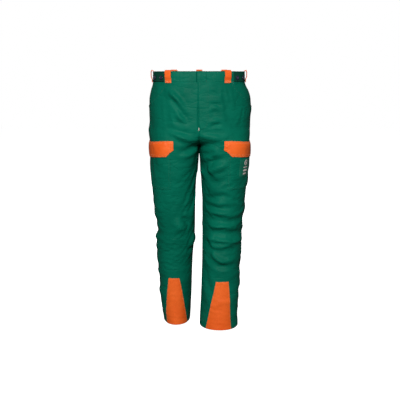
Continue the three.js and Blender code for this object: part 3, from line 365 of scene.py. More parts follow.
def first_angle(side, z):
    """The angle where a half begins: the centre seam above the crotch, the inseam below it."""
    z = np.asarray(z, float)
    return np.where(z > CROTCH, angle_at(side, z, 0.0), 0.0)


def normal(side, angle, z):
    """The outward direction of the form."""
    angle, z = np.broadcast_arrays(np.asarray(angle, float), np.asarray(z, float))
    around = on_form(side, angle + 1.5, z) - on_form(side, angle - 1.5, z)
    up = on_form(side, angle, z + 0.003) - on_form(side, angle, z - 0.003)
    n = np.cross(around, up)
    n /= np.linalg.norm(n, axis=-1, keepdims=True) + 1e-12
    cx, _, cy, _, _ = section(side, z)
    out = on_form(side, angle, z)
    out = np.stack([out[..., 0] - cx * FORM[side]["sign"], out[..., 1] - cy, np.zeros(z.shape)], -1)
    return np.where((n * out).sum(-1, keepdims=True) < 0, -n, n)


def soft_step(t):
    t = np.clip(t, 0, 1)
    return t * t * (3 - 2 * t)


grid_angle, grid_z, grid_form, grid_normal = {}, {}, {}, {}
for side in FORM:
    start = first_angle(side, row_z)[:, None]
    grid_angle[side] = start + share[None, :] * (360 - 2 * start)
    grid_z[side] = np.broadcast_to(row_z[:, None], grid_angle[side].shape)
    grid_form[side] = on_form(side, grid_angle[side], grid_z[side])
    grid_normal[side] = normal(side, grid_angle[side], grid_z[side])
print("drape grid", ROW_COUNT, "rows by", COLUMNS, "columns for each leg")


# %% Sculpted folds
def noise_field(points, scale, seed):
    """Smooth noise from -1 to 1 at many points; scale is a length for each axis."""
    flat = points.reshape(-1, 3) / np.array(scale)
    shift = Vector((seed * 7.3, seed * 3.1, seed * 1.7))
    return np.array([noise.noise(Vector(p) + shift) for p in flat]).reshape(points.shape[:-1])


def fold_profile(distance, width):
    """A crest with shallow hollows beside it."""
    t = distance / width
    return np.exp(-0.5 * t * t) - 0.32 * np.exp(-0.5 * ((t - 2.1) / 0.9) ** 2)


def held(side):
    """How firmly the cloth is held: 1 at the band, fly, seams and hems, 0 in the open."""
    angle, z = grid_angle[side], grid_z[side]
    x = np.abs(grid_form[side][..., 0])
    front = (angle < 180)
    hold = 1 - soft_step((-BAND - z) / 0.045)
    near_centre = 1 - soft_step((x - 0.030) / 0.030)
    fly = np.where(front & (z > FLY_END - 0.012), near_centre, 0)
    seat = np.where(~front & (z > CROTCH), 1 - soft_step((x - 0.004) / 0.03), 0)
    start = first_angle(side, z)
    inseam = 1 - soft_step(np.minimum(angle - start, 360 - start - angle) / 9)
    hem = 1 - soft_step((z - HEM) / 0.03)
    return np.clip(np.maximum.reduce([hold, fly, seat, 0.92 * inseam, 0.6 * hem]), 0, 1)


lift = {}
for side in FORM:
    angle, z, p = grid_angle[side], grid_z[side], grid_form[side]
    height = np.zeros(angle.shape)
    facing = soft_step(-grid_normal[side][..., 1] / 0.35)
    for leg, line, width, crest in FOLDS:
        if leg != side:
            continue
        nodes = np.array(line) * (1, LENGTH_TRIM)
        fine = np.concatenate([np.linspace(a, b, 12, endpoint=False) for a, b in zip(nodes[:-1], nodes[1:])]
                              + [nodes[-1:]])
        gap = np.hypot(p[..., 0, None] - fine[:, 0], z[..., None] - fine[:, 1])
        nearest = gap.argmin(-1)
        taper = np.sin(np.pi * (0.10 + 0.80 * nearest / (len(fine) - 1)))
        height += FOLD_DEPTH * crest * fold_profile(gap.min(-1), width) * taper * facing
    for leg, at, bump_z, wide, tall, crest in BUMPS:
        if leg != side:
            continue
        apart = (angle - at + 180) % 360 - 180
        height += crest * np.exp(-0.5 * (apart / wide) ** 2 - 0.5 * ((z - bump_z) / tall) ** 2)
    crumple = {"left": 0.0030, "right": 0.0013}[side]
    knee = 0.5 + 0.8 * np.exp(-0.5 * ((z + 0.70) / 0.14) ** 2)
    behind = np.where(angle > 180, 1.5, 1.0)
    height += crumple * knee * behind * noise_field(p, (0.085, 0.085, 0.034), 3 if side == "left" else 5)
    height += 0.0022 * noise_field(p, (0.16, 0.16, 0.11), 11 if side == "left" else 13)
    height += 0.0006 * noise_field(p, (0.022, 0.022, 0.016), 17)
    seam = np.exp(-0.5 * ((angle - 180) / 2.2) ** 2) * (z < -BAND)
    height -= TAKE_IN[side] * np.exp(-0.5 * ((angle - 180) / 32) ** 2) * soft_step((-z - 0.07) / 0.11)
    height -= 0.0012 * seam * (1 + 0.6 * noise_field(p * [0, 0, 1], (1, 1, 0.02), 23))
    uneven = 1 + 0.55 * noise_field(p, (0.045, 0.045, 0.030), 29)
    lift[side] = height * uneven * (1 - held(side))
    waist = np.exp(-0.5 * ((angle - 180) / 30) ** 2) * (1 - soft_step((-z - 0.035) / 0.075))
    lift[side] -= WAIST_TAKE_IN[side] * waist
    lift[side] -= FLAP_PRESS * np.exp(-0.5 * ((angle - 180) / 34) ** 2 - 0.5 * ((z + 0.290) / 0.032) ** 2)
    inner = np.exp(-0.5 * (np.minimum(angle, 360 - angle) / 24) ** 2)
    lift[side] += THIGHS_MEET * inner * np.exp(-0.5 * ((z + 0.300) / 0.013) ** 2)
    print(side, "folds reach", round(1000 * lift[side].min(), 1), "to", round(1000 * lift[side].max(), 1),
          "mm")


# %% [markdown]
# Now the cloth simulation. The sculpted legs become a cloth a little larger than the form it hangs
# on, held at the waist, fly and seams by a goal weight, with the padded legs inside as a collision
# body. Twenty-six frames are enough for the spare cloth to buckle. Each point moves 10 mm at most,
# and the result is read back into the same field and the helpers are removed.

# %% Cloth simulation
def grid_object(name, points):
    """Both legs as one mesh; points is a dict of (rows, columns, 3) arrays."""
    bm = bmesh.new()
    for side in FORM:
        made = bmesh.ops.create_grid(bm, x_segments=COLUMNS, y_segments=ROW_COUNT - 1, size=0.5)["verts"]
        for v, p in zip(made, points[side][::-1].reshape(-1, 3)):
            v.co = p
        if side == "right":
            mine = set(made)
            bmesh.ops.reverse_faces(bm, faces=[f for f in bm.faces if f.verts[0] in mine])
    mesh = bpy.data.meshes.new(name)
    bm.to_mesh(mesh)
    bm.free()
    o = bpy.data.objects.new(name, mesh)
    scene.collection.objects.link(o)
    return o


CAP = 0.010  # the furthest a point may be carried
SIM_FRAMES = 26
SIM_SHARE = 0.75  # how much of the simulated movement is kept
drape = {side: grid_normal[side] * lift[side][..., None] for side in FORM}
sim_start = time.time()
cloth_points = {side: grid_form[side] + drape[side] for side in FORM}
dummy = grid_object("dummy", {s: grid_form[s] - 0.0045 * grid_normal[s] for s in FORM})
dummy.modifiers.new("collision", "COLLISION")
dummy.collision.thickness_outer = 0.001
dummy.collision.cloth_friction = 12
sheet = grid_object("sheet", cloth_points)
group = sheet.vertex_groups.new(name="pin")
weights = np.concatenate([np.clip(0.10 + 0.90 * held(side), 0, 1)[::-1].ravel() for side in FORM])
for weight in np.unique(np.round(weights, 2)):
    group.add([int(i) for i in np.flatnonzero(np.round(weights, 2) == weight)], float(weight), "REPLACE")
cloth = sheet.modifiers.new("cloth", "CLOTH")
s = cloth.settings
s.quality, s.mass, s.air_damping = 4, 0.25, 3
s.tension_stiffness = s.compression_stiffness = 18
s.shear_stiffness, s.bending_stiffness = 6, 1.6
s.shrink_min = -0.022
s.vertex_group_mass, s.pin_stiffness = "pin", 0.6
s.effector_weights.gravity = 0.25
cloth.collision_settings.collision_quality = 2
cloth.collision_settings.distance_min = 0.001
cloth.point_cache.frame_end = SIM_FRAMES
for frame_number in range(1, SIM_FRAMES + 1):
    scene.frame_set(frame_number)
graph = bpy.context.evaluated_depsgraph_get()
settled = sheet.evaluated_get(graph).to_mesh()
flat = np.zeros(len(settled.vertices) * 3)
settled.vertices.foreach_get("co", flat)
per_leg = flat.reshape(2, ROW_COUNT, COLUMNS + 1, 3)[:, ::-1]
scene.frame_set(1)
for n, side in enumerate(FORM):
    moved = per_leg[n] - cloth_points[side]
    length = np.linalg.norm(moved, axis=-1, keepdims=True)
    moved *= np.minimum(1, CAP / np.maximum(length, 1e-9))
    free = (1 - held(side))[..., None]
    calm = 1 - 0.70 * soft_step((-grid_z[side] - 0.70) / 0.13)[..., None]
    swollen = (moved * grid_normal[side]).sum(-1, keepdims=True).mean(1, keepdims=True)
    moved = (moved - 0.9 * swollen * grid_normal[side]) * free * calm * SIM_SHARE
    moved[..., 2] *= 0.4  # the layers above keep their heights
    inward = np.minimum((moved * grid_normal[side]).sum(-1) + lift[side] + 0.0035, 0)
    moved -= inward[..., None] * grid_normal[side] * (lift[side][..., None] > -0.0035)
    drape[side] = drape[side] + moved
    print(side, "cloth moved", round(1000 * float(length.mean()), 2), "mm on average")
for helper in (sheet, dummy):
    bpy.data.objects.remove(helper)
print("simulation took", round(time.time() - sim_start, 1), "s")


# %% Placing things on the dressed form
def field(side, angle, z):
    """The drape's movement at any angle and height, from the four grid points round it."""
    start = first_angle(side, z)
    s = np.clip((angle - start) / (360 - 2 * start), 0, 1) * COLUMNS
    r = np.clip((TOP_ROW - z) / ROW_STEP, 0, ROW_COUNT - 1.001)
    i, j = np.floor(r).astype(int), np.minimum(np.floor(s).astype(int), COLUMNS - 1)
    a, b = (r - i)[..., None], (s - j)[..., None]
    d = drape[side]
    near = (1 - b) * d[i, j] + b * d[i, j + 1]
    far = (1 - b) * d[i + 1, j] + b * d[i + 1, j + 1]
    return (1 - a) * near + a * far


def place(side, angle, z, off=0.0):
    """A point of the dressed form, off metres outside the cloth's outer face."""
    angle, z, off = np.broadcast_arrays(np.asarray(angle, float), np.asarray(z, float),
                                        np.asarray(off, float))
    return on_form(side, angle, z) + normal(side, angle, z) * off[..., None] + field(side, angle, z)


def place_band(turn, z, off=0.0):
    """A point round the waist: turn 0 is the front, 90 the wearer's left, 180 the back."""
    turn, z, off = np.broadcast_arrays(np.asarray(turn, float) % 360, np.asarray(z, float),
                                       np.asarray(off, float))
    left, right = place("left", 90 + turn, z, off), place("right", 90 + (360 - turn), z, off)
    return np.where((turn <= 180)[..., None], left, right)


def turn_at(x):
    return float(angle_at("left", -BAND / 2, x)) - 90


print("front left pocket corner at", place("left", 89, -0.276).round(3))


# %% [markdown]
# Materials. Every finish is procedural. Woven cloth reads the piece's own UV map, laid out in
# metres, so that the weave follows the cloth; larger changes of tone and roughness read Object
# coordinates. The weave is two sets of waves, warp and weft, joined into a twill diagonal.

# %% Helpers for materials
def nodes_of(name):
    material = bpy.data.materials.new(name)
    material.use_nodes = True
    tree = material.node_tree
    return material, tree, tree.nodes["Principled BSDF"]


def add_node(tree, kind, **values):
    node = tree.nodes.new("ShaderNode" + kind)
    for key, value in values.items():
        if hasattr(node, key):
            setattr(node, key, value)
        else:
            node.inputs[key.replace("_", " ")].default_value = value
    return node


def math_node(tree, operation, a, b=None):
    node = tree.nodes.new("ShaderNodeMath")
    node.operation = operation
    for socket, value in zip(node.inputs, (a, b)):
        if value is None:
            continue
        if isinstance(value, (int, float)):
            socket.default_value = value
        else:
            tree.links.new(value, socket)
    return node.outputs[0]


def mixed(tree, factor, a, b):
    node = tree.nodes.new("ShaderNodeMix")
    node.data_type = "RGBA"
    for socket, value in ((node.inputs[0], factor), (node.inputs[6], a), (node.inputs[7], b)):
        if isinstance(value, (tuple, float, int)):
            socket.default_value = value
        else:
            tree.links.new(value, socket)
    return node.outputs[2]


def ramp(tree, source, *stops):
    node = tree.nodes.new("ShaderNodeValToRGB")
    elements = node.color_ramp.elements
    while len(elements) < len(stops):
        elements.new(0.5)
    for element, (at, colour) in zip(elements, stops):
        element.position, element.color = at, colour
    tree.links.new(source, node.inputs[0])
    return node.outputs[0]


def tone(r, g, b, level=1.0):
    return (r * level, g * level, b * level, 1.0)


def relief_under(tree, where, relief, depth):
    """Small sharp creases, longer round the leg than up it, as a bump under the weave."""
    stretch = add_node(tree, "Mapping")
    stretch.inputs["Scale"].default_value = (7.0, 7.0, 16.0)
    stretch.inputs["Rotation"].default_value = (0.0, math.radians(9), 0.0)
    tree.links.new(where.outputs["Object"], stretch.inputs["Vector"])
    wrinkle = add_node(tree, "TexNoise", Scale=1.0, Detail=3.0, Roughness=0.55)
    tree.links.new(stretch.outputs[0], wrinkle.inputs["Vector"])
    ridge = math_node(tree, "ABSOLUTE", math_node(tree, "SUBTRACT", wrinkle.outputs[0], 0.5))
    crease = math_node(tree, "POWER", math_node(tree, "MULTIPLY", ridge, 4.0), 0.6)
    bumped = add_node(tree, "Bump", Strength=1.0, Distance=depth)
    tree.links.new(crease, bumped.inputs["Height"])
    tree.links.new(bumped.outputs[0], relief.inputs["Normal"])


def cloth_material(name, light, dark, pitch=0.0009, rough=0.55, sheen=0.25, sheen_tint=None, bump=0.25,
                   twill=True,
                   specular=0.4, creases=0.0):
    """Woven cloth: a twill or plain weave in metres, with slow changes of tone and roughness and, when asked,
    small creases as bump.
    """
    material, tree, shader = nodes_of(name)
    where = add_node(tree, "TexCoord")
    split = add_node(tree, "SeparateXYZ")
    tree.links.new(where.outputs["UV"], split.inputs[0])
    u, v = split.outputs[0], split.outputs[1]
    turn = 2 * math.pi / pitch
    warp = math_node(tree, "SINE", math_node(tree, "MULTIPLY", u, turn))
    weft = math_node(tree, "SINE", math_node(tree, "MULTIPLY", v, turn * (1.0 if not twill else 0.8)))
    if twill:
        slant = math_node(tree, "ADD", u, v)
        rib = math_node(tree, "SINE", math_node(tree, "MULTIPLY", slant, turn * 0.5))
        woven = math_node(tree, "ADD", math_node(tree, "MULTIPLY", rib, 0.6),
                          math_node(tree, "MULTIPLY", math_node(tree, "MULTIPLY", warp, weft), 0.4))
    else:
        woven = math_node(tree, "MULTIPLY", warp, weft)
    woven = math_node(tree, "ADD", math_node(tree, "MULTIPLY", woven, 0.5), 0.5)
    slow = add_node(tree, "TexNoise", Scale=7.0, Detail=4.0, Roughness=0.6)
    tree.links.new(where.outputs["Object"], slow.inputs["Vector"])
    fine = add_node(tree, "TexNoise", Scale=420.0, Detail=2.0, Roughness=0.7)
    tree.links.new(where.outputs["Object"], fine.inputs["Vector"])
    body = mixed(tree, ramp(tree, slow.outputs[0], (0.38, (0, 0, 0, 1)), (0.64, (1, 1, 1, 1))), dark, light)
    shade = math_node(tree, "ADD", 0.82, math_node(tree, "MULTIPLY", woven, 0.24))
    shade = math_node(tree, "ADD", shade, math_node(tree, "MULTIPLY", fine.outputs[0], 0.10))
    tinted = add_node(tree, "VectorMath", operation="SCALE")
    tree.links.new(body, tinted.inputs[0])
    tree.links.new(shade, tinted.inputs["Scale"])
    tree.links.new(tinted.outputs[0], shader.inputs["Base Color"])
    grain = math_node(tree, "ADD", woven, math_node(tree, "MULTIPLY", fine.outputs[0], 0.6))
    relief = add_node(tree, "Bump", Strength=bump, Distance=0.0003)
    tree.links.new(grain, relief.inputs["Height"])
    if creases:
        relief_under(tree, where, relief, creases)
    tree.links.new(relief.outputs[0], shader.inputs["Normal"])
    gloss = math_node(tree, "ADD", rough - 0.06, math_node(tree, "MULTIPLY", slow.outputs[0], 0.12))
    tree.links.new(gloss, shader.inputs["Roughness"])
    shader.inputs["Sheen Weight"].default_value = sheen
    shader.inputs["Sheen Roughness"].default_value = 0.4
    shader.inputs["Sheen Tint"].default_value = sheen_tint or light
    shader.inputs["Specular IOR Level"].default_value = specular
    return material


# %% Cloths
green = cloth_material("green_twill", tone(0.0010, 0.136, 0.082), tone(0.0006, 0.110, 0.066), rough=0.50,
                       sheen=0.0, specular=0.045, creases=0.0022)
green_dark = cloth_material("green_rib", tone(0.001, 0.056, 0.034), tone(0.0006, 0.042, 0.025), pitch=0.0016,
                            rough=0.62, sheen=0.03, bump=0.5, specular=0.15)
orange = cloth_material("orange_twill", tone(0.90, 0.146, 0.020), tone(0.82, 0.112, 0.012), rough=0.55,
                        sheen=0.04, specular=0.18)
lining_cloth = cloth_material("lining_mesh", tone(0.030, 0.042, 0.038), tone(0.018, 0.026, 0.024),
                              pitch=0.0018,
                              rough=0.75, sheen=0.1, twill=False)
pocketing = cloth_material("pocketing", tone(0.58, 0.58, 0.54), tone(0.50, 0.50, 0.46), twill=False,
                           rough=0.8)
batting = cloth_material("cut_pad_batting", tone(0.74, 0.71, 0.62), tone(0.64, 0.61, 0.53), pitch=0.0024,
                         rough=0.95, sheen=0.5, bump=0.7, twill=False)
tape_cloth = cloth_material("zip_tape_cloth", tone(0.004, 0.09, 0.055), tone(0.003, 0.07, 0.04),
                            pitch=0.0012, rough=0.7)
label_cloth = cloth_material("label_satin", tone(0.82, 0.81, 0.78), tone(0.74, 0.73, 0.70), pitch=0.0005,
                             rough=0.4)
badge_cloth = cloth_material("badge_ground", tone(0.003, 0.15, 0.09), tone(0.002, 0.12, 0.07), rough=0.5)
print("woven cloths made")


# %% Threads, hook tape, metal, horn and print
def plain_material(name, colour, rough, bump_scale, bump, metallic=0.0, spread=0.15, specular=0.5):
    """A fine-grained finish for small hard or fuzzy parts."""
    material, tree, shader = nodes_of(name)
    where = add_node(tree, "TexCoord")
    grain = add_node(tree, "TexNoise", Scale=bump_scale, Detail=4.0, Roughness=0.65)
    tree.links.new(where.outputs["Object"], grain.inputs["Vector"])
    low = tuple(c * (1 - spread) for c in colour[:3]) + (1,)
    high = tuple(min(1, c * (1 + spread)) for c in colour[:3]) + (1,)
    tree.links.new(ramp(tree, grain.outputs[0], (0.3, low), (0.7, high)), shader.inputs["Base Color"])
    gloss = math_node(tree, "ADD", rough - 0.08, math_node(tree, "MULTIPLY", grain.outputs[0], 0.16))
    tree.links.new(gloss, shader.inputs["Roughness"])
    relief = add_node(tree, "Bump", Strength=bump, Distance=0.0003)
    tree.links.new(grain.outputs[0], relief.inputs["Height"])
    tree.links.new(relief.outputs[0], shader.inputs["Normal"])
    shader.inputs["Metallic"].default_value = metallic
    shader.inputs["Specular IOR Level"].default_value = specular
    return material


thread_green = plain_material("thread_green", tone(0.010, 0.13, 0.085), 0.6, 900, 0.3)
thread_orange = plain_material("thread_orange", tone(0.98, 0.40, 0.20), 0.55, 900, 0.3)
thread_pale = plain_material("thread_pale", tone(0.78, 0.70, 0.60), 0.55, 900, 0.3)
hook_nap = plain_material("hook_and_loop_nap", tone(0.012, 0.045, 0.032), 0.9, 1600, 1.0, spread=0.5)
zip_metal = plain_material("brushed_zip_metal", tone(0.62, 0.60, 0.55), 0.33, 700, 0.25, metallic=1.0,
                           spread=0.08)
snap_metal = plain_material("nickel_snap", tone(0.66, 0.66, 0.66), 0.24, 400, 0.15, metallic=1.0, spread=0.06)
# near-black button colour; the violet tint in it is a painted sheen, not the button's own colour
horn = plain_material("dark_button_horn_painted_violet_sheen", tone(0.022, 0.018, 0.045), 0.22, 120, 0.08, spread=0.5,
                      specular=0.6)
print_pale = plain_material("pale_rubber_print", tone(0.62, 0.52, 0.50), 0.5, 500, 0.3)
print("small finishes made")


# %% [markdown]
# Every cloth piece is laid on the dressed form as a grid, given a UV map in metres, and thickened
# with a Solidify modifier whose rim closes its edges. Making all of them with one helper keeps
# the layers parallel, so that none cuts its neighbour.

# %% Laying cloth
def finish(name, mesh, body, material, replaces=()):
    mesh.materials.append(material)
    mesh.shade_smooth()
    piece = bpy.data.objects.new(name, mesh)
    scene.collection.objects.link(piece)
    if body:
        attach(piece, body)
    if replaces:
        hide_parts(*replaces)
    return piece


def to_mesh(name, bm):
    mesh = bpy.data.meshes.new(name)
    bm.to_mesh(mesh)
    bm.free()
    return mesh


def grid_cloth(name, points, uv, thickness, body, material, replaces=(), axis=(0, 0, 0), rim=0.0):
    """A cloth of (rows, columns, 3) points, its outer face where the points are."""
    rows, columns = points.shape[:2]
    bm = bmesh.new()
    made = bmesh.ops.create_grid(bm, x_segments=columns - 1, y_segments=rows - 1, size=0.5)["verts"]
    for v, p in zip(made, points.reshape(-1, 3)):
        v.co = p
    layer = bm.loops.layers.uv.new("weave")
    flat = uv.reshape(-1, 2)
    for i, v in enumerate(made):
        v.index = i
    for f in bm.faces:
        for loop in f.loops:
            loop[layer].uv = flat[loop.vert.index]
    du, dv = points[:, 1:] - points[:, :-1], points[1:] - points[:-1]
    way = np.cross(du[:-1].reshape(-1, 3), dv[:, :-1].reshape(-1, 3)).mean(0)
    centre = points.reshape(-1, 3).mean(0) - np.asarray(axis)
    if way @ np.array([centre[0], centre[1], 0]) < 0:
        bmesh.ops.reverse_faces(bm, faces=bm.faces[:])
    piece = finish(name, to_mesh(name, bm), body, material, replaces)
    wall = piece.modifiers.new("thickness", "SOLIDIFY")
    wall.thickness, wall.offset, wall.use_even_offset = thickness, -1, False
    if rim:
        edge = piece.modifiers.new("rim", "BEVEL")
        edge.width, edge.segments, edge.limit_method, edge.angle_limit = rim, 2, "ANGLE", math.radians(50)
    return piece


def lay(name, side, columns, rows, where, off, thickness, body, material, replaces=(), rim=0.0):
    """Lays cloth on one leg. where(u, v) gives the angle and height; off is metres or off(u, v)."""
    v, u = np.meshgrid(np.linspace(0, 1, rows + 1), np.linspace(0, 1, columns + 1), indexing="ij")
    angle, z = where(u, v)
    depth = off(u, v) if callable(off) else off
    points = place(side, angle, z, depth)
    steps = np.linalg.norm(np.diff(points, axis=1), axis=-1)
    across = np.concatenate([np.zeros((rows + 1, 1)), np.cumsum(steps, 1)], 1)
    uv = np.stack([across, np.broadcast_to(z, across.shape)], -1)
    cx = float(section(side, float(np.mean(z)))[0]) * FORM[side]["sign"]
    cy = float(section(side, float(np.mean(z)))[2])
    return grid_cloth(name, points, uv, thickness, body, material, replaces, (cx, cy, 0), rim)


def mix(a, b, t):
    return a + (b - a) * t


SHELL = 1.0 * MM
GAP = 0.3 * MM
PANEL_TOP = -BAND + 0.0004
ROOT = "trousers"


# %% [markdown]
# The four shell panels: two fronts and two backs, joined at the side seam, the inseam and the
# centre seam. The upper outer corner of each front curves away into the opening of the hip
# pocket, so its last column follows that curve instead of the side seam.

# %% Shell panels
HIP_OPEN_X, HIP_OPEN_END = 0.126, -0.134


def pocket_edge(side, z):
    """The angle of the hip pocket's opening; the side seam below its end."""
    t = np.clip((PANEL_TOP - z) / (PANEL_TOP - HIP_OPEN_END), 0, 1)
    reach = np.interp(t, [0, 0.18, 0.36, 0.55, 0.70, 0.82, 0.92, 0.97, 1],
                      [0, 0.045, 0.12, 0.235, 0.38, 0.53, 0.70, 0.84, 1])
    start = float(angle_at(side, PANEL_TOP, HIP_OPEN_X))
    return start + (180 - start) * reach


def front_edge(side, z):
    """The inner edge of a front: past the centre at the fly, then the centre seam and the inseam."""
    first = first_angle(side, z)
    x = -0.0045 if side == "left" else 0.0030
    fly = angle_at(side, z, x)
    t = soft_step((z - FLY_END) / 0.012)
    return np.where(z > FLY_END, mix(first, fly, t), first)


def panel_rows(v):
    return HEM + v * (PANEL_TOP - HEM)


PANEL_ROWS, PANEL_COLUMNS = 204, 62
SEAM = 0.18  # degrees left for a seam
for side in FORM:
    def front_where(u, v, side=side):
        z = panel_rows(v)
        return mix(front_edge(side, z), pocket_edge(side, z) - SEAM, u), z

    def back_where(u, v, side=side):
        z = panel_rows(v)
        return mix(180 + SEAM, 360 - first_angle(side, z), u), z

    def front_off(u, v, side=side):
        z = panel_rows(v)
        edge = 1 - soft_step(u / 0.05)
        fly = edge * (z > FLY_END) * (0.0007 if side == "left" else -0.0006)
        mouth = soft_step((u - 0.93) / 0.07) * (z > HIP_OPEN_END) * 0.0012
        return fly + mouth

    lay(f"front_cloth_{side}", side, PANEL_COLUMNS, PANEL_ROWS, front_where,
                                front_off, SHELL,
                                ROOT, green, [f"front_panel_{side}"])
    lay(f"back_cloth_{side}", side, PANEL_COLUMNS, PANEL_ROWS, back_where, 0.0, SHELL,
                               ROOT, green, [f"back_panel_{side}"])
print("panels of", PANEL_ROWS * PANEL_COLUMNS, "quads each")

# %% Hems, hip pockets and lining
for side in FORM:
    def hem_where(u, v, side=side):
        return 360 * u, HEM + 0.0006 + v * 0.030

    lay(f"hem_cloth_{side}", side, 96, 6, hem_where, -0.0016, SHELL, ROOT, green,
        [f"hem_turnup_{side}"])

    def facing_where(u, v, side=side):
        z = mix(below(0.62), PANEL_TOP, v)
        return mix(mix(first_angle(side, z), 180, 0.45), 180 - SEAM, u), z

    lay(f"hip_facing_cloth_{side}", side, 26, 30, facing_where, -0.00150, SHELL, ROOT, green,
        [f"hip_pocket_facing_{side}"])

    def bag_where(u, v, side=side):
        z = mix(below(0.76), PANEL_TOP, v)
        return mix(mix(first_angle(side, z), 180, 0.35), 180 - SEAM, u), z

    lay(f"hip_bag_cloth_{side}", side, 30, 34, bag_where, -0.0030, 0.0008, ROOT, pocketing,
        [f"hip_pocket_bag_{side}"])

    def lining_where(u, v, side=side):
        z = mix(HEM + 0.020, PANEL_TOP, v)
        start = first_angle(side, z)
        return start + (360 - 2 * start) * u, z

    def lining_depth(u, v):
        z = mix(HEM + 0.020, PANEL_TOP, v)
        top = np.clip((z + 0.071) / (PANEL_TOP + 0.071), 0, 1)
        bottom = np.clip((HEM + 0.045 - z) / 0.025, 0, 1)
        return mix(mix(-0.0108, -0.0042, top), -0.0038, bottom)

    lay(f"lining_cloth_{side}", side, 96, 120, lining_where, lining_depth, 0.0008,
                                 ROOT,
                                 lining_cloth, [f"lining_{side}"])

    def pad_where(u, v, side=side):
        z = mix(HEM + 0.050, -0.086, v)
        return mix(first_angle(side, z) + 12, 180 - SEAM, u), z

    def pad_depth(u, v):
        edge = np.minimum(np.minimum(u, 1 - u) * 14, np.minimum(v, 1 - v) * 60)
        quilt = np.abs(np.sin(math.pi * 5 * u))
        return -0.0042 - 0.0012 * (1 - np.clip(edge, 0, 1)) - 0.0007 * (1 - soft_step(quilt / 0.35))

    pad = lay(f"cut_pad_quilt_{side}", side, 60, 110, pad_where, pad_depth, 0.0046, ROOT, batting,
              [f"cut_pad_{side}"])
print("inner layers laid")


# %% [markdown]
# The waistband is a firm folded strip. Its face is slightly crowned between two rows of
# topstitching, and the side lengths hold gathered elastic, whose ribs run up and down.

# %% Waistband
def band(name, from_turn, to_turn, columns, depth, thickness, material, replaces, body=ROOT,
         rim=0.0008):
    v, u = np.meshgrid(np.linspace(0, 1, 17), np.linspace(0, 1, columns + 1), indexing="ij")
    turn, z = mix(from_turn, to_turn, u), mix(-BAND, 0.0, v)
    points = place_band(turn, z, depth(u, v, turn, z))
    arc = np.broadcast_to(np.radians(turn) * 0.155, z.shape)
    return grid_cloth(name, points, np.stack([arc, z], -1), thickness, body, material, replaces,
                      rim=rim)


def crown(u, v, turn, z):
    """The band's face: crowned, dented by its stitching and puckered by the pull of the fly."""
    rows = np.exp(-0.5 * ((z + 0.004) / 0.0012) ** 2) + np.exp(-0.5 * ((z + BAND - 0.004) / 0.0012) ** 2)
    pull = np.exp(-0.5 * ((turn - 7) / 5.0) ** 2)
    slant = np.sin(turn * 1.1 + (z + 0.02) * 230 + 1.7 * np.sin(turn * 0.43))
    small = np.sin(turn * 2.1) * np.sin(turn * 0.77 + 1.3)
    soft = np.sin(math.pi * np.clip(v, 0, 1))
    return 0.0008 + 0.0005 * soft - 0.0004 * rows + soft * (0.0010 * pull * slant + 0.00025 * small)


elastic_turn, tab_turn, tip_turn = turn_at(0.131), turn_at(0.026), turn_at(-0.006)
CUT = 0.12
band("waistband_cloth_left", tab_turn + CUT, elastic_turn - CUT, 60, crown, 0.0032, green,
     ["waistband_front_left"])
band("waistband_cloth_back", 180 - elastic_turn + CUT, 180 + elastic_turn - CUT, 130, crown, 0.0032, green,
     ["waistband_back"])


def gathers(u, v, turn, z):
    """Elastic ribs, pinched by four rows of stitching."""
    rib = np.abs(np.sin(turn * 0.0115 * 100 + 0.5 * np.sin(z * 210)))
    rows = np.abs(np.sin((z + BAND) / BAND * math.pi * 4))
    ends = np.clip(np.minimum(u, 1 - u) * 16, 0, 1)
    return 0.0005 + ends * (0.0012 * rib * (0.45 + 0.55 * rows) - 0.0003)


for side, a, b in (("left", elastic_turn, 180 - elastic_turn),
                   ("right", 180 + elastic_turn, 360 - elastic_turn)):
    band(f"side_elastic_cloth_{side}", a + CUT, b - CUT, 190, gathers, 0.0028, green_dark,
         [f"side_elastic_{side}"], rim=0)


def underlap(u, v, turn, z):
    """The right front dips behind the tab."""
    t = soft_step((turn - (tip_turn - 1.1)) / 0.8)
    return mix(crown(u, v, turn, z), 0.0008 - 0.0022 - 0.0034, t)


band("waistband_cloth_right", -elastic_turn + CUT, tab_turn - 3, 90, underlap, 0.0026, green,
     ["waistband_front_right"])


def tab_face(u, v, turn, z):
    return crown(u, v, turn, z) + 0.0004 * (1 - u)


band("waistband_tab_cloth", tip_turn - 2 * CUT, tab_turn - CUT, 26, tab_face, 0.0022, green,
     ["waistband_tab"], body="waist_tab_body")
print("waistband in six lengths")


# %% [markdown]
# Belt loops. Each loop is a folded strip that starts under the top edge of the band, arches over
# it with room for a belt and is tacked down on the band's lower edge with a bar of stitching.

# %% Belt loops
def band_frame(turn):
    """Origin on the band's top, and the directions out of it and round it."""
    origin = place_band(turn, 0.0)
    ahead = place_band(turn + 1, 0.0) - place_band(turn - 1, 0.0)
    ahead[2] = 0
    ahead /= np.linalg.norm(ahead)
    out = np.array([ahead[1], -ahead[0], 0])
    if out @ origin < 0:
        out = -out
    return origin, out, ahead


LOOP_WIDTH, LOOP_THICK, LOOP_STAND = 0.0250, 0.0018, 0.0070


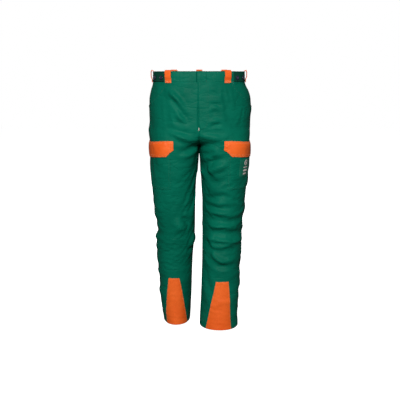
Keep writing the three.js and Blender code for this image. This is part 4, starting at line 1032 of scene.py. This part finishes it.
def belt_loop(name, turn):
    origin, out, ahead = band_frame(turn)

    def reach(z, off):
        return max(float((place_band(turn + d, z, off) - origin) @ out) for d in (-6, -3, 0, 3, 6))

    half = LOOP_THICK / 2
    far = reach(-BAND / 2, 0.0008) + half + LOOP_STAND
    near = reach(0.0, 0.0008 - 0.0032)
    foot_top = -BAND + 0.0045
    foot_end = foot_top - 0.0085
    line = [(near + 0.0006, half + GAP), (near + 0.0028, half + 0.0012), (far - 0.0042, 0.006 - half),
            (far - 0.0006, -0.001), (far, -0.011), (far - 0.0004, -0.020), (far - 0.0030, -0.0270),
            (reach(foot_top, 0.0018) + half + 0.0004, foot_top),
            (reach(-BAND + 0.001, 0.0016) + half + 0.0003, foot_end)]
    fine = []
    for i in range(len(line) - 1):
        p0, p1, p2, p3 = (np.array(line[max(0, min(len(line) - 1, i + k))]) for k in (-1, 0, 1, 2))
        for t in np.linspace(0, 1, 5, endpoint=False):
            fine.append(0.5 * (2 * p1 + (p2 - p0) * t + (2 * p0 - 5 * p1 + 4 * p2 - p3) * t**2
                               + (3 * p1 - p0 - 3 * p2 + p3) * t**3))
    fine.append(np.array(line[-1]))
    fine = np.array(fine)
    across = np.linspace(-0.5, 0.5, 13)
    edge = 0.00045 * (1 - np.exp(-((np.abs(across) - 0.40) / 0.03) ** 2)) + half - 0.0004
    slope = np.gradient(fine, axis=0)
    slope /= np.linalg.norm(slope, axis=1, keepdims=True)
    face = np.stack([-slope[:, 1], slope[:, 0]], 1)
    face *= np.where(face[:, :1] < 0, -1, 1)
    face[:6] = np.where(face[:6, 1:] < 0, -face[:6], face[:6])
    flat = fine[:, None] + face[:, None] * edge[None, :, None]
    points = (origin + flat[..., :1] * out + across[None, :, None] * LOOP_WIDTH * ahead
              + flat[..., 1:] * np.array([0, 0, 1.0]))
    run = np.concatenate([[0], np.cumsum(np.linalg.norm(np.diff(fine, axis=0), axis=1))])
    uv = np.stack(np.broadcast_arrays(across[None] * LOOP_WIDTH, run[:, None]), -1)
    grid_cloth(name + "_cloth", points, uv, LOOP_THICK, ROOT, orange, [name], rim=0.0005)
    return origin, out, ahead, fine


loops = {}
for name, turn in (("front_left", turn_at(0.106)), ("front_right", -turn_at(0.115)), ("side_left", 90.0),
                   ("side_right", 270.0), ("back_left", 180 - turn_at(0.100)),
                   ("back_right", 180 + turn_at(0.100)),
                   ("back_centre", 180.0)):
    loops[name] = belt_loop("belt_loop_" + name, turn)
print(len(loops), "belt loops")


# %% [markdown]
# Brace buttons: a horn disc with a rolled rim and a dished face, spun round its axis, standing on a
# short shank of the same horn. Its four holes are not cut; four thread beads over them form two crossing
# strands.

# %% Brace buttons
def brace_button(name, turn):
    _, out, ahead = band_frame(turn)
    origin = place_band(turn, -BAND * 0.6)
    seat, disc, radius, top = 0.00125, 0.00345, 0.0075, 0.00625
    bm = bmesh.new()
    profile = [(0, disc), (0.0060, disc), (0.0071, disc + 0.0003), (radius, disc + 0.0010),
               (radius, disc + 0.0017),
               (0.0070, top - 0.0002), (0.0062, top), (0.0054, top - 0.0004), (0.0048, top - 0.0011),
               (0, top - 0.0012)]
    verts = [bm.verts.new((r, 0, h)) for r, h in profile]
    edges = [bm.edges.new(pair) for pair in zip(verts[:-1], verts[1:])]
    bmesh.ops.spin(bm, geom=verts + edges, cent=(0, 0, 0), axis=(0, 0, 1), angle=2 * math.pi, steps=40,
                   use_merge=True)
    bmesh.ops.remove_doubles(bm, verts=bm.verts[:], dist=1e-6)
    bmesh.ops.create_cone(bm, cap_ends=True, segments=20, radius1=0.0026, radius2=0.0020,
                          depth=disc - seat + 0.0004,
                          matrix=Matrix.Translation((0, 0, (disc + seat) / 2)))
    bmesh.ops.recalc_face_normals(bm, faces=bm.faces[:])
    turn_to = Matrix(((ahead[0], 0, out[0], origin[0]), (ahead[1], 0, out[1], origin[1]),
                      (0, 1, 0, origin[2]),
                      (0, 0, 0, 1)))
    bmesh.ops.transform(bm, matrix=turn_to, verts=bm.verts[:])
    if turn_to.determinant() < 0:
        bmesh.ops.reverse_faces(bm, faces=bm.faces[:])
    finish(name + "_horn", to_mesh(name, bm), ROOT, horn, [name])
    bm = bmesh.new()
    for angle in (45, 135):
        for hole in (-1, 1):
            spin = Matrix.Rotation(math.radians(angle), 4, "Z")
            bmesh.ops.create_icosphere(bm, subdivisions=2, radius=1, matrix=spin @ Matrix.Translation(
                (hole * 0.0009, 0, top - 0.0009)) @ Matrix.Diagonal((0.0013, 0.00032, 0.0004, 1)))
    bmesh.ops.transform(bm, matrix=turn_to, verts=bm.verts[:])
    if turn_to.determinant() < 0:
        bmesh.ops.reverse_faces(bm, faces=bm.faces[:])
    finish(name + "_thread", to_mesh(name, bm), ROOT, thread_green)


for name, turn in (("front_left_inner", turn_at(0.142)), ("front_left_outer", turn_at(0.168)),
                   ("front_right_inner", -turn_at(0.142)), ("front_right_outer", -turn_at(0.168)),
                   ("back_left", 180 - turn_at(0.048)), ("back_right", 180 + turn_at(0.048))):
    brace_button("brace_button_" + name, turn)
print("six brace buttons")


# %% [markdown]
# Stitching. One stitch is a low-poly bead, stretched along the seam. A row of them is set a
# little proud of the cloth, and all the rows of one thread on one body are a single piece.

# %% Stitch rows
threads = {}


def stitch_row(kind, points, normals, pitch=0.0042, length=0.0030, width=0.00042):
    """Beads along a line. kind is a thread and a body."""
    steps = np.linalg.norm(np.diff(points, axis=0), axis=1)
    run = np.concatenate([[0], np.cumsum(steps)])
    count = max(2, int(run[-1] / pitch))
    at = np.linspace(pitch / 2, run[-1] - pitch / 2, count)
    p = np.stack([np.interp(at, run, points[:, k]) for k in range(3)], 1)
    n = np.stack([np.interp(at, run, normals[:, k]) for k in range(3)], 1)
    ahead = np.stack([np.interp(at + 0.001, run, points[:, k]) - np.interp(at - 0.001, run, points[:, k])
                      for k in range(3)], 1)
    ahead /= np.linalg.norm(ahead, axis=1, keepdims=True) + 1e-12
    n -= (n * ahead).sum(1, keepdims=True) * ahead
    n /= np.linalg.norm(n, axis=1, keepdims=True) + 1e-12
    side_way = np.cross(n, ahead)
    bm = threads.setdefault(kind, bmesh.new())
    for q, a, s_way, up in zip(p, ahead, side_way, n):
        frame_of = Matrix(((a[0] * length / 2, s_way[0] * width, up[0] * width, q[0]),
                           (a[1] * length / 2, s_way[1] * width, up[1] * width, q[1]),
                           (a[2] * length / 2, s_way[2] * width, up[2] * width, q[2]), (0, 0, 0, 1)))
        bmesh.ops.create_icosphere(bm, subdivisions=1, radius=1, matrix=frame_of)


def stitch_on(kind, side, angle, z, off=0.0, **options):
    angle, z = np.broadcast_arrays(np.asarray(angle, float), np.asarray(z, float))
    stitch_row(kind, place(side, angle, z, off), normal(side, angle, z), **options)


def degrees_at(side, z, metres):
    """How many degrees cover this many metres round the leg."""
    _, a, _, b, _ = section(side, z)
    return np.degrees(metres / ((a + b) / 2))


down_z = np.linspace(PANEL_TOP - 0.002, HEM + 0.002, 400)
for side in FORM:
    for gap in (0.0018, 0.0075):
        stitch_on(("green", ROOT), side, 180 + degrees_at(side, down_z, gap), down_z)
    leg_z = down_z[down_z < CROTCH - 0.01]
    for around in (2.2, 357.8):
        stitch_on(("green", ROOT), side, np.full(leg_z.shape, around), leg_z)
    for height in (0.026, 0.0285):
        ring = np.linspace(4, 356, 260)
        stitch_on(("green", ROOT), side, ring, np.full(ring.shape, HEM + height))
    seat_z = down_z[down_z > CROTCH + 0.03]
    for gap in (0.0022, 0.0080):
        stitch_on(("green", ROOT), side, 360 - first_angle(side, seat_z) - degrees_at(side, seat_z, gap),
                  seat_z)
    open_z = np.linspace(PANEL_TOP - 0.001, HIP_OPEN_END + 0.002, 90)
    for gap in (0.0020, 0.0080):
        stitch_on(("green", ROOT), side, pocket_edge(side, open_z) - degrees_at(side, open_z, gap), open_z,
                  0.0010)
for z in (-0.0040, -BAND + 0.0040):
    for a, b in ((tab_turn + 0.6, elastic_turn - 0.6), (180 - elastic_turn + 0.6, 180 + elastic_turn - 0.6),
                 (-elastic_turn + 0.6, tip_turn - 3.0)):
        turn = np.linspace(a, b, 120)
        face = place_band(turn, z, crown(0, (z + BAND) / BAND, turn, np.full(turn.shape, z)))
        stitch_row(("green", ROOT), face, place_band(turn, z, 0.001) - place_band(turn, z, 0.0))
print("garment seams stitched")

# %% Fly stitching
fly_x = 0.034
knee_z = FLY_END + 0.030
straight = np.linspace(PANEL_TOP - 0.001, knee_z, 60)
curve = np.linspace(0, 1, 24)[1:]
j_x = np.concatenate([np.full(straight.shape, fly_x), mix(0.0, fly_x, np.cos(curve * math.pi / 2) ** 0.75)])
j_z = np.concatenate([straight, knee_z + (FLY_END - 0.004 - knee_z) * np.sin(curve * math.pi / 2)])
for inset in (0.0, 0.0045):
    stitch_on(("green", ROOT), "left", angle_at("left", j_z, np.maximum(j_x - inset, 0.0015)), j_z, 0.0003)
edge_z = np.linspace(PANEL_TOP - 0.001, FLY_END, 60)
stitch_on(("green", ROOT), "left", angle_at("left", edge_z, -0.0012), edge_z, 0.0007, width=0.00025)
for shift in np.linspace(-0.0016, 0.0016, 5):
    bar_z = np.linspace(FLY_END + 0.002, FLY_END - 0.008, 8)
    stitch_on(("pale", ROOT), "left", angle_at("left", bar_z, -0.0012 + shift * 0.5), bar_z, 0.0008,
              pitch=0.0016,
              length=0.0020, width=0.0005)
print("fly stitched")


# %% [markdown]
# Patch pockets. A cargo pocket stands a little off the leg because it has slack to hold things, so
# its face swells between its stitched edges. The flap above is lined and turned, thicker than the
# shell, with cut lower corners. The same swell is read by the tapes and the badge that lie on it.

# %% Pocket shapes
FLAP_TOP, FLAP_HEIGHT, FLAP_CUT, CUT_SHARE = 0.257, 0.059, 0.024, 0.10
POCKET_TOP, POCKET_HEIGHT = FLAP_TOP + 0.024, 0.164
FACE = GAP + 0.6 * MM + SHELL
TAPE = 0.5 * MM
TAPE_DROP, TAPE_HEIGHT = 0.036, 0.020  # from a flap's top to its tape
POCKET_FROM, POCKET_TO = 94.0, 201.0  # degrees round the thigh
TAPE_FROM, TAPE_TO = 116.0, 179.0


def swell(u, v, most):
    """Rises from the stitched edges: 0 on them, most in the middle."""
    edge = soft_step(np.minimum(u, 1 - u) / 0.16) * soft_step(v / 0.22)
    return most * edge


def thigh_face(angle, z):
    """How far a thigh pocket's face stands off the leg."""
    u = np.clip((angle - POCKET_FROM) / (POCKET_TO - POCKET_FROM), 0, 1)
    v = np.clip((z + POCKET_TOP + POCKET_HEIGHT) / POCKET_HEIGHT, 0, 1)
    edge = np.minimum(soft_step(np.minimum(u, 1 - u) / 0.03), soft_step(v / 0.05))
    return GAP + SHELL + (FACE - GAP - SHELL) * edge + swell(u, v, 0.0008)


def outline_of(pocket_from, pocket_to, top, bottom, inset_angle=1.6, inset_z=0.004):
    """The three sewn sides of a patch pocket, as angles and heights."""
    down = np.linspace(top, bottom + inset_z, 60)
    over = np.linspace(0, 1, 90)
    start, end = pocket_from(down) + inset_angle, pocket_to(down) - inset_angle
    foot = np.full(over.shape, bottom + inset_z)
    base = mix(pocket_from(foot) + inset_angle, pocket_to(foot) - inset_angle, over)
    return np.concatenate([start, base, end[::-1]]), np.concatenate([down, foot, down[::-1]])


def tape_piece(name, side, span, top, body, node, off):
    def where(u, v):
        z = mix(top - TAPE_HEIGHT, top, v)
        a, b = span(z)
        return mix(a, b, u), z
    return lay(name, side, 60, 10, where, off, TAPE, body, hook_nap, [node], rim=0.0002)


for side in FORM:
    body = f"thigh_flap_{side}_body"

    def pocket_where(u, v):
        return mix(POCKET_FROM, POCKET_TO, u), mix(-POCKET_TOP - POCKET_HEIGHT, -POCKET_TOP, v)

    def pocket_off(u, v):
        angle, z = pocket_where(u, v)
        return thigh_face(angle, z)

    lay(f"thigh_pocket_cloth_{side}", side, 90, 60, pocket_where, pocket_off, SHELL, ROOT, green,
        [f"thigh_pocket_{side}"], rim=0.0003)
    for inset_angle, inset_z in ((1.5, 0.003), (4.6, 0.0095)):
        angle, z = outline_of(lambda z: POCKET_FROM + 0 * z, lambda z: POCKET_TO + 0 * z, -POCKET_TOP,
                              -POCKET_TOP - POCKET_HEIGHT,
                              inset_angle, inset_z)
        stitch_on(("green", ROOT), side, angle, z, thigh_face(angle, z))

    def thigh_tapes(z):
        return TAPE_FROM, TAPE_TO

    def loop_off(u, v):
        a = mix(TAPE_FROM, TAPE_TO, u)
        z = mix(-FLAP_TOP - TAPE_DROP - TAPE_HEIGHT, -FLAP_TOP - TAPE_DROP, v)
        return thigh_face(a, z) + TAPE + 0.0001

    def hook_off(u, v):
        return loop_off(u, v) + TAPE + 0.0002

    tape_piece(f"thigh_loop_nap_{side}", side, thigh_tapes, -FLAP_TOP - TAPE_DROP, ROOT,
               f"thigh_loop_tape_{side}",
               loop_off)
    tape_piece(f"thigh_hook_nap_{side}", side, thigh_tapes, -FLAP_TOP - TAPE_DROP, body,
               f"thigh_hook_tape_{side}",
               hook_off)
print("thigh pockets", POCKET_HEIGHT, "m high")


# %% Flaps
FLAP_WALL = 1.4 * MM


def flap(name, side, span, top, height, under, body, node, material, thread, slope=0.0):
    """A lined flap: sewn flat at its top, clear of the tapes below, with cut lower corners."""
    def shape(u, v):
        corner = np.minimum(u, 1 - u) / CUT_SHARE
        length = height - FLAP_CUT * np.clip(1 - corner, 0, 1)
        z = -top - (1 - v) * length - slope * soft_step(u / 0.75)
        a, b = span(z)
        return mix(a, b, u), z

    def off(u, v):
        angle, z = shape(u, v)
        drop = (1 - v) * height
        stand = mix(0.0006, under(angle, z), soft_step(drop / 0.014))
        edge = soft_step(np.minimum(np.minimum(u, 1 - u) * 40, v * 8))
        side_rows = np.exp(-0.5 * ((np.minimum(u, 1 - u) - 0.022) / 0.006) ** 2)
        groove = side_rows + np.exp(-0.5 * ((v - 0.075) / 0.02) ** 2)
        soft = 0.0004 * np.sin(math.pi * v) * (1 + 0.8 * np.sin(u * 9 + 1.3 * v))
        return stand + FLAP_WALL - 0.0005 * (1 - edge) - 0.0004 * groove + soft

    piece = lay(name, side, 110, 26, shape, off, FLAP_WALL, None, material, [node], rim=0.0005)
    for inset, drop in ((0.018, 0.060), (0.045, 0.150)):
        low = np.linspace(0.93, drop, 24)
        over = np.linspace(inset, 1 - inset, 130)
        u = np.concatenate([np.full(low.shape, inset), over, np.full(low.shape, 1 - inset)])
        v = np.concatenate([low, np.full(over.shape, drop), low[::-1]])
        angle, z = shape(u, v)
        stitch_on((thread, body), side, angle, z, off(u, v) + 0.0001)
    u = np.linspace(0.01, 0.99, 140)
    for v0 in (0.97, 0.88):
        v = np.full(u.shape, v0)
        angle, z = shape(u, v)
        stitch_on((thread, ROOT if v0 > 0.9 else body), side, angle, z, off(u, v) + 0.0001)
    for modifier in list(piece.modifiers):
        with bpy.context.temp_override(object=piece, active_object=piece, selected_objects=[piece]):
            bpy.ops.object.modifier_apply(modifier=modifier.name)
    angle, _ = shape(np.array([0.5]), np.array([1.0]))
    x, y, _ = place(side, angle, np.array([-top]))[0]
    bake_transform(piece)
    return piece


FLAP_FRONT_X = {"left": 0.096, "right": 0.0990}
FLAP_BACK = 206.0  # degrees round the thigh


def flap_span(side):
    """The flap's front edge hangs plumb, at one distance from the centre line."""
    return lambda z: (angle_at(side, z, FLAP_FRONT_X[side]), FLAP_BACK)


def over_tapes(angle, z):
    return thigh_face(angle, z) + 2 * TAPE + 0.0006


for side in FORM:
    flap(f"thigh_flap_cloth_{side}", side, flap_span(side), FLAP_TOP, FLAP_HEIGHT, over_tapes,
         f"thigh_flap_{side}_body", f"thigh_flap_{side}", orange, "orange", slope=0.010)
print("thigh flaps")

# %% Back pocket
BACK_TOP, BACK_POCKET, BACK_FLAP_H = 0.092, 0.104, 0.056  # flap's top, pocket's top, flap's height
BACK_INNER, BACK_WIDTH, BACK_HEIGHT = 0.036, 0.118, 0.150


def back_span(extra):
    def span(z):
        return (360 - angle_at("right", z, BACK_INNER + BACK_WIDTH + extra),
                360 - angle_at("right", z, BACK_INNER - extra))
    return span


def back_face(angle, z):
    a, b = back_span(-0.002)(z)
    u = np.clip((angle - a) / (b - a), 0, 1)
    v = np.clip((z + BACK_POCKET + BACK_HEIGHT) / BACK_HEIGHT, 0, 1)
    edge = np.minimum(soft_step(np.minimum(u, 1 - u) / 0.04), soft_step(v / 0.05))
    return GAP + SHELL + (FACE - GAP - SHELL) * edge + swell(u, v, 0.0010)


def back_where(u, v):
    z = mix(-BACK_POCKET - BACK_HEIGHT, -BACK_POCKET, v)
    a, b = back_span(-0.002)(z)
    return mix(a, b, u), z


def back_off(u, v):
    angle, z = back_where(u, v)
    return back_face(angle, z)


lay("back_pocket_cloth", "right", 60, 60, back_where, back_off, SHELL, ROOT, green,
    ["back_pocket"], rim=0.0003)
for inset_angle, inset_z in ((0.9, 0.003), (3.0, 0.0095)):
    angle, z = outline_of(lambda z: back_span(-0.002)(z)[0], lambda z: back_span(-0.002)(z)[1], -BACK_POCKET,
                          -BACK_POCKET - BACK_HEIGHT, inset_angle, inset_z)
    stitch_on(("green", ROOT), "right", angle, z, back_face(angle, z))


def back_tapes(z):
    a, b = back_span(0.0)(z)
    return a + 12, b - 12


def back_loop_off(u, v):
    z = mix(-BACK_TOP - TAPE_DROP - TAPE_HEIGHT, -BACK_TOP - TAPE_DROP, v)
    a, b = back_tapes(z)
    return back_face(mix(a, b, u), z) + TAPE + 0.0001


tape_piece("back_loop_nap", "right", back_tapes, -BACK_TOP - TAPE_DROP, ROOT, "back_loop_tape", back_loop_off)
tape_piece("back_hook_nap", "right", back_tapes, -BACK_TOP - TAPE_DROP, "back_flap_body", "back_hook_tape",
           lambda u, v: back_loop_off(u, v) + TAPE + 0.0002)
flap("back_flap_cloth", "right", back_span(0.003), BACK_TOP, BACK_FLAP_H,
     lambda a, z: back_face(a, z) + 2 * TAPE + 0.0010,
     "back_flap_body", "back_flap", green, "green")
print("back pocket and flap")


# %% [markdown]
# The ankle panels are inset wedges of bright cloth, narrow at the top and wide at the hem, stitched
# flat on the front of each leg. Creases of the cloth below carry through them.

# %% Ankle panels
ANKLE_TOP = 0.198


ANKLE_INNER, ANKLE_OUTER = {"left": 47.0, "right": 40.0}, {"left": 125.0, "right": 132.0}


def ankle_edges(side, v):
    return mix(ANKLE_INNER[side], 74.0, v), mix(ANKLE_OUTER[side], 109.0, v)


for side in FORM:
    def ankle_where(u, v):
        a, b = ankle_edges(side, v)
        return mix(a, b, u), mix(HEM + 0.0004, HEM + ANKLE_TOP, v)

    def ankle_off(u, v):
        edge = soft_step(np.minimum(np.minimum(u, 1 - u) * 12, (1 - v) * 18))
        return 0.0012 + 0.0006 * edge

    lay(f"ankle_cloth_{side}", side, 44, 60, ankle_where, ankle_off, SHELL, ROOT, orange,
        [f"ankle_panel_{side}"], rim=0.0003)
    v = np.linspace(0.01, 0.985, 90)
    a, b = ankle_edges(side, v)
    z = HEM + ANKLE_TOP * v
    inset = degrees_at(side, z, 0.003)
    stitch_on(("orange", ROOT), side, a + inset, z, 0.0017)
    stitch_on(("orange", ROOT), side, b - inset, z, 0.0017)
    top_angle = np.linspace(76.5, 107.5, 30)
    stitch_on(("orange", ROOT), side, top_angle, np.full(top_angle.shape, HEM + ANKLE_TOP - 0.003), 0.0017)
print("ankle panels", ANKLE_TOP, "m high")


# %% [markdown]
# A printed mark on the outer thigh. It is this lesson's own plain design, a ring above
# two bars, in pale rubber print on a patch of the shell cloth.

# %% Badge
BADGE_TOP = FLAP_TOP + FLAP_HEIGHT + 0.012


def badge_where(u, v):
    return mix(120.0, 158.0, u), mix(-BADGE_TOP - 0.068, -BADGE_TOP, v)


def badge_off(u, v):
    angle, z = badge_where(u, v)
    return thigh_face(angle, z) + 0.0007


lay("leg_badge_patch", "left", 30, 26, badge_where, badge_off, 0.0004, ROOT, badge_cloth,
    ["leg_badge"], rim=0.0001)


BADGE_TURN = 139  # degrees round the thigh to the badge's middle


def badge_mark(name, centre, inner, outer):
    """A printed ring or bar: a small ring spun flat, then wrapped on the leg."""
    bm = bmesh.new()
    if inner is not None:
        bmesh.ops.create_circle(bm, cap_ends=False, segments=36, radius=outer)
        ring = bmesh.ops.extrude_edge_only(bm, edges=bm.edges[:])
        for v in [g for g in ring["geom"] if isinstance(g, bmesh.types.BMVert)]:
            v.co *= inner / outer
    else:
        bmesh.ops.create_grid(bm, x_segments=14, y_segments=3, size=0.5)
        for v in bm.verts:
            v.co.x *= outer[0]
            v.co.y *= outer[1]
    for v in bm.verts:
        z = -BADGE_TOP - 0.034 + centre[1] + v.co.y
        angle = BADGE_TURN + float(degrees_at("left", z, centre[0] + v.co.x))
        p = place("left", angle, z, float(thigh_face(angle, z)) + 0.00105)
        v.co = Vector(p)
    out = Vector((1, 0, 0))
    bmesh.ops.recalc_face_normals(bm, faces=bm.faces[:])
    if sum((f.normal * f.calc_area() for f in bm.faces), Vector()).dot(out) < 0:
        bmesh.ops.reverse_faces(bm, faces=bm.faces[:])
    piece = finish(name, to_mesh(name, bm), ROOT, print_pale)
    wall = piece.modifiers.new("thickness", "SOLIDIFY")
    wall.thickness, wall.offset = 0.0004, -1


badge_mark("badge_ring", (0.002, 0.018), 0.0070, 0.0115)
badge_mark("badge_dot", (0.002, 0.018), 0.0004, 0.0036)
badge_mark("badge_bar_upper", (0.002, 0.000), None, (0.030, 0.0042))
badge_mark("badge_bar_middle", (0.002, -0.012), None, (0.030, 0.0075))
badge_mark("badge_bar_lower", (-0.002, -0.024), None, (0.022, 0.0060))
print("badge marks")


# %% Care label
v, u = np.meshgrid(np.linspace(0, 1, 25), np.linspace(0, 1, 17), indexing="ij")
turn, z = mix(176.0, 184.0, u), mix(-BAND - 0.036, -BAND + 0.012, v)
depth = np.where(z > -BAND, -0.0027, mix(-0.0132, -0.0029, soft_step((z + 0.078) / 0.040)))
curl = 0.0012 * np.sin(math.pi * u) * (1 - v)
label_points = place_band(turn, z, depth - curl)
arc = np.broadcast_to(np.radians(turn) * 0.15, z.shape)
grid_cloth("care_label_satin", label_points, np.stack([arc, z], -1), 0.0004, ROOT, label_cloth,
           ["care_label"])
print("care label 21 mm wide")


# %% [markdown]
# Behind the fly. The facing and the shield are plain shell cloth; the zip's teeth, slider and
# pull and the waist snap already have their right shapes in the CAD model and only need metal.

# %% Fly layers
def fly_facing_where(u, v):
    z = mix(FLY_END, PANEL_TOP - 0.0005, v)
    return mix(angle_at("left", z, -0.0026), angle_at("left", z, 0.038), u), z


lay("fly_facing_cloth", "left", 20, 40, fly_facing_where, -0.00195, SHELL, ROOT, green,
    ["fly_facing"])


def soft_copy(node, name, material, body=ROOT):
    """A CAD strip as cloth: merged, its long facets divided, given a UV map and shaded flat."""
    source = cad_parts[node]
    bm = bmesh.new()
    bm.from_mesh(source.data)
    bmesh.ops.remove_doubles(bm, verts=bm.verts[:], dist=2e-5)
    bmesh.ops.dissolve_limit(bm, angle_limit=math.radians(1.5), verts=bm.verts[:], edges=bm.edges[:])
    bmesh.ops.triangulate(bm, faces=bm.faces[:])
    long_edges = [e for e in bm.edges if e.calc_length() > 0.008]
    bmesh.ops.subdivide_edges(bm, edges=long_edges, cuts=2, use_grid_fill=True)
    bmesh.ops.recalc_face_normals(bm, faces=bm.faces[:])
    layer = bm.loops.layers.uv.new("weave")
    for f in bm.faces:
        for loop in f.loops:
            loop[layer].uv = (loop.vert.co.x + loop.vert.co.y, loop.vert.co.z)
    mesh = to_mesh(name, bm)
    piece = finish(name, mesh, body, material, [node])
    mesh.shade_flat()
    return piece


soft_copy("fly_shield", "fly_shield_cloth", green)
soft_copy("zip_tape_left", "zip_tape_cloth_left", tape_cloth)
soft_copy("zip_tape_right", "zip_tape_cloth_right", tape_cloth)
for node, metal in (("zip_teeth_left", zip_metal), ("zip_teeth_right", zip_metal),
                    ("zip_bottom_stop", zip_metal),
                    ("zip_slider", zip_metal), ("zip_pull", zip_metal), ("snap_stud", snap_metal),
                    ("snap_socket", snap_metal)):
    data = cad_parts[node].data
    data.materials.clear()
    data.materials.append(metal)
print("fly layers and fasteners")


# %% Bar tacks on the belt loops
for name, (origin, out, ahead, fine) in loops.items():
    foot = fine[-1]
    for k, height in enumerate((0.0012, 0.0030, 0.0048, 0.0066, 0.0084)):
        across = np.linspace(-0.0138, 0.0138, 20)
        z = foot[1] + height
        base = origin + (foot[0] + 0.0012 + 0.0006 * height / 0.010) * out
        points = base[None] + across[:, None] * ahead
        points[:, 2] = origin[2] + z
        stitch_row(("pale_orange", ROOT), points, np.tile(out, (20, 1)), pitch=0.0022, length=0.0021,
                   width=0.00045)
print("loops tacked")

# %% Stitch pieces
THREADS = {"green": (thread_green, "shell"), "orange": (thread_orange, "orange"),
           "pale": (thread_pale, "shell"),
           "pale_orange": (thread_orange, "orange")}
for (kind, body), bm in threads.items():
    material, slot_name = THREADS[kind]
    count = len(bm.faces) // 20
    where = "garment" if body == ROOT else body.replace("_body", "")
    finish(f"stitching_{kind}_{where}", to_mesh(kind, bm), body, material)
    print(kind, "thread on", body, count, "stitches")


# %% [markdown]
# The shell panels and the lining are sheets cut flat before they were sewn. Widths are a quarter
# of the hip with seam room, lengths are the side seam. Here the area of form under each front and
# back panel is measured and printed.

# %% Sheets
def cut_area(side, low_angle, high_angle, top, bottom, off=0.0):
    """The area of cloth between two angles of the form, in square metres."""
    z = np.linspace(top, bottom, 160)
    total = 0.0
    for a, b in zip(z[:-1], z[1:]):
        ring = on_form(side, np.linspace(low_angle(a), high_angle(a), 40), a) + off
        total += np.linalg.norm(np.diff(ring, axis=0), axis=1).sum() * (a - b)
    return total


for side in FORM:
    front = cut_area(side, lambda z: float(first_angle(side, z)), lambda z: 180.0, PANEL_TOP, HEM)
    back = cut_area(side, lambda z: 180.0, lambda z: 360 - float(first_angle(side, z)), PANEL_TOP, HEM)
    print(side, "front", round(front, 3), "m2, back", round(back, 3), "m2")

# %% Sizes and finish
visual_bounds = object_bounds()
for label, corners in (("CAD", cad_bounds), ("visual", visual_bounds)):
    print(label, [[round(float(v), 4) for v in corner] for corner in corners])
print("scene took", round(time.time() - started, 1), "s")
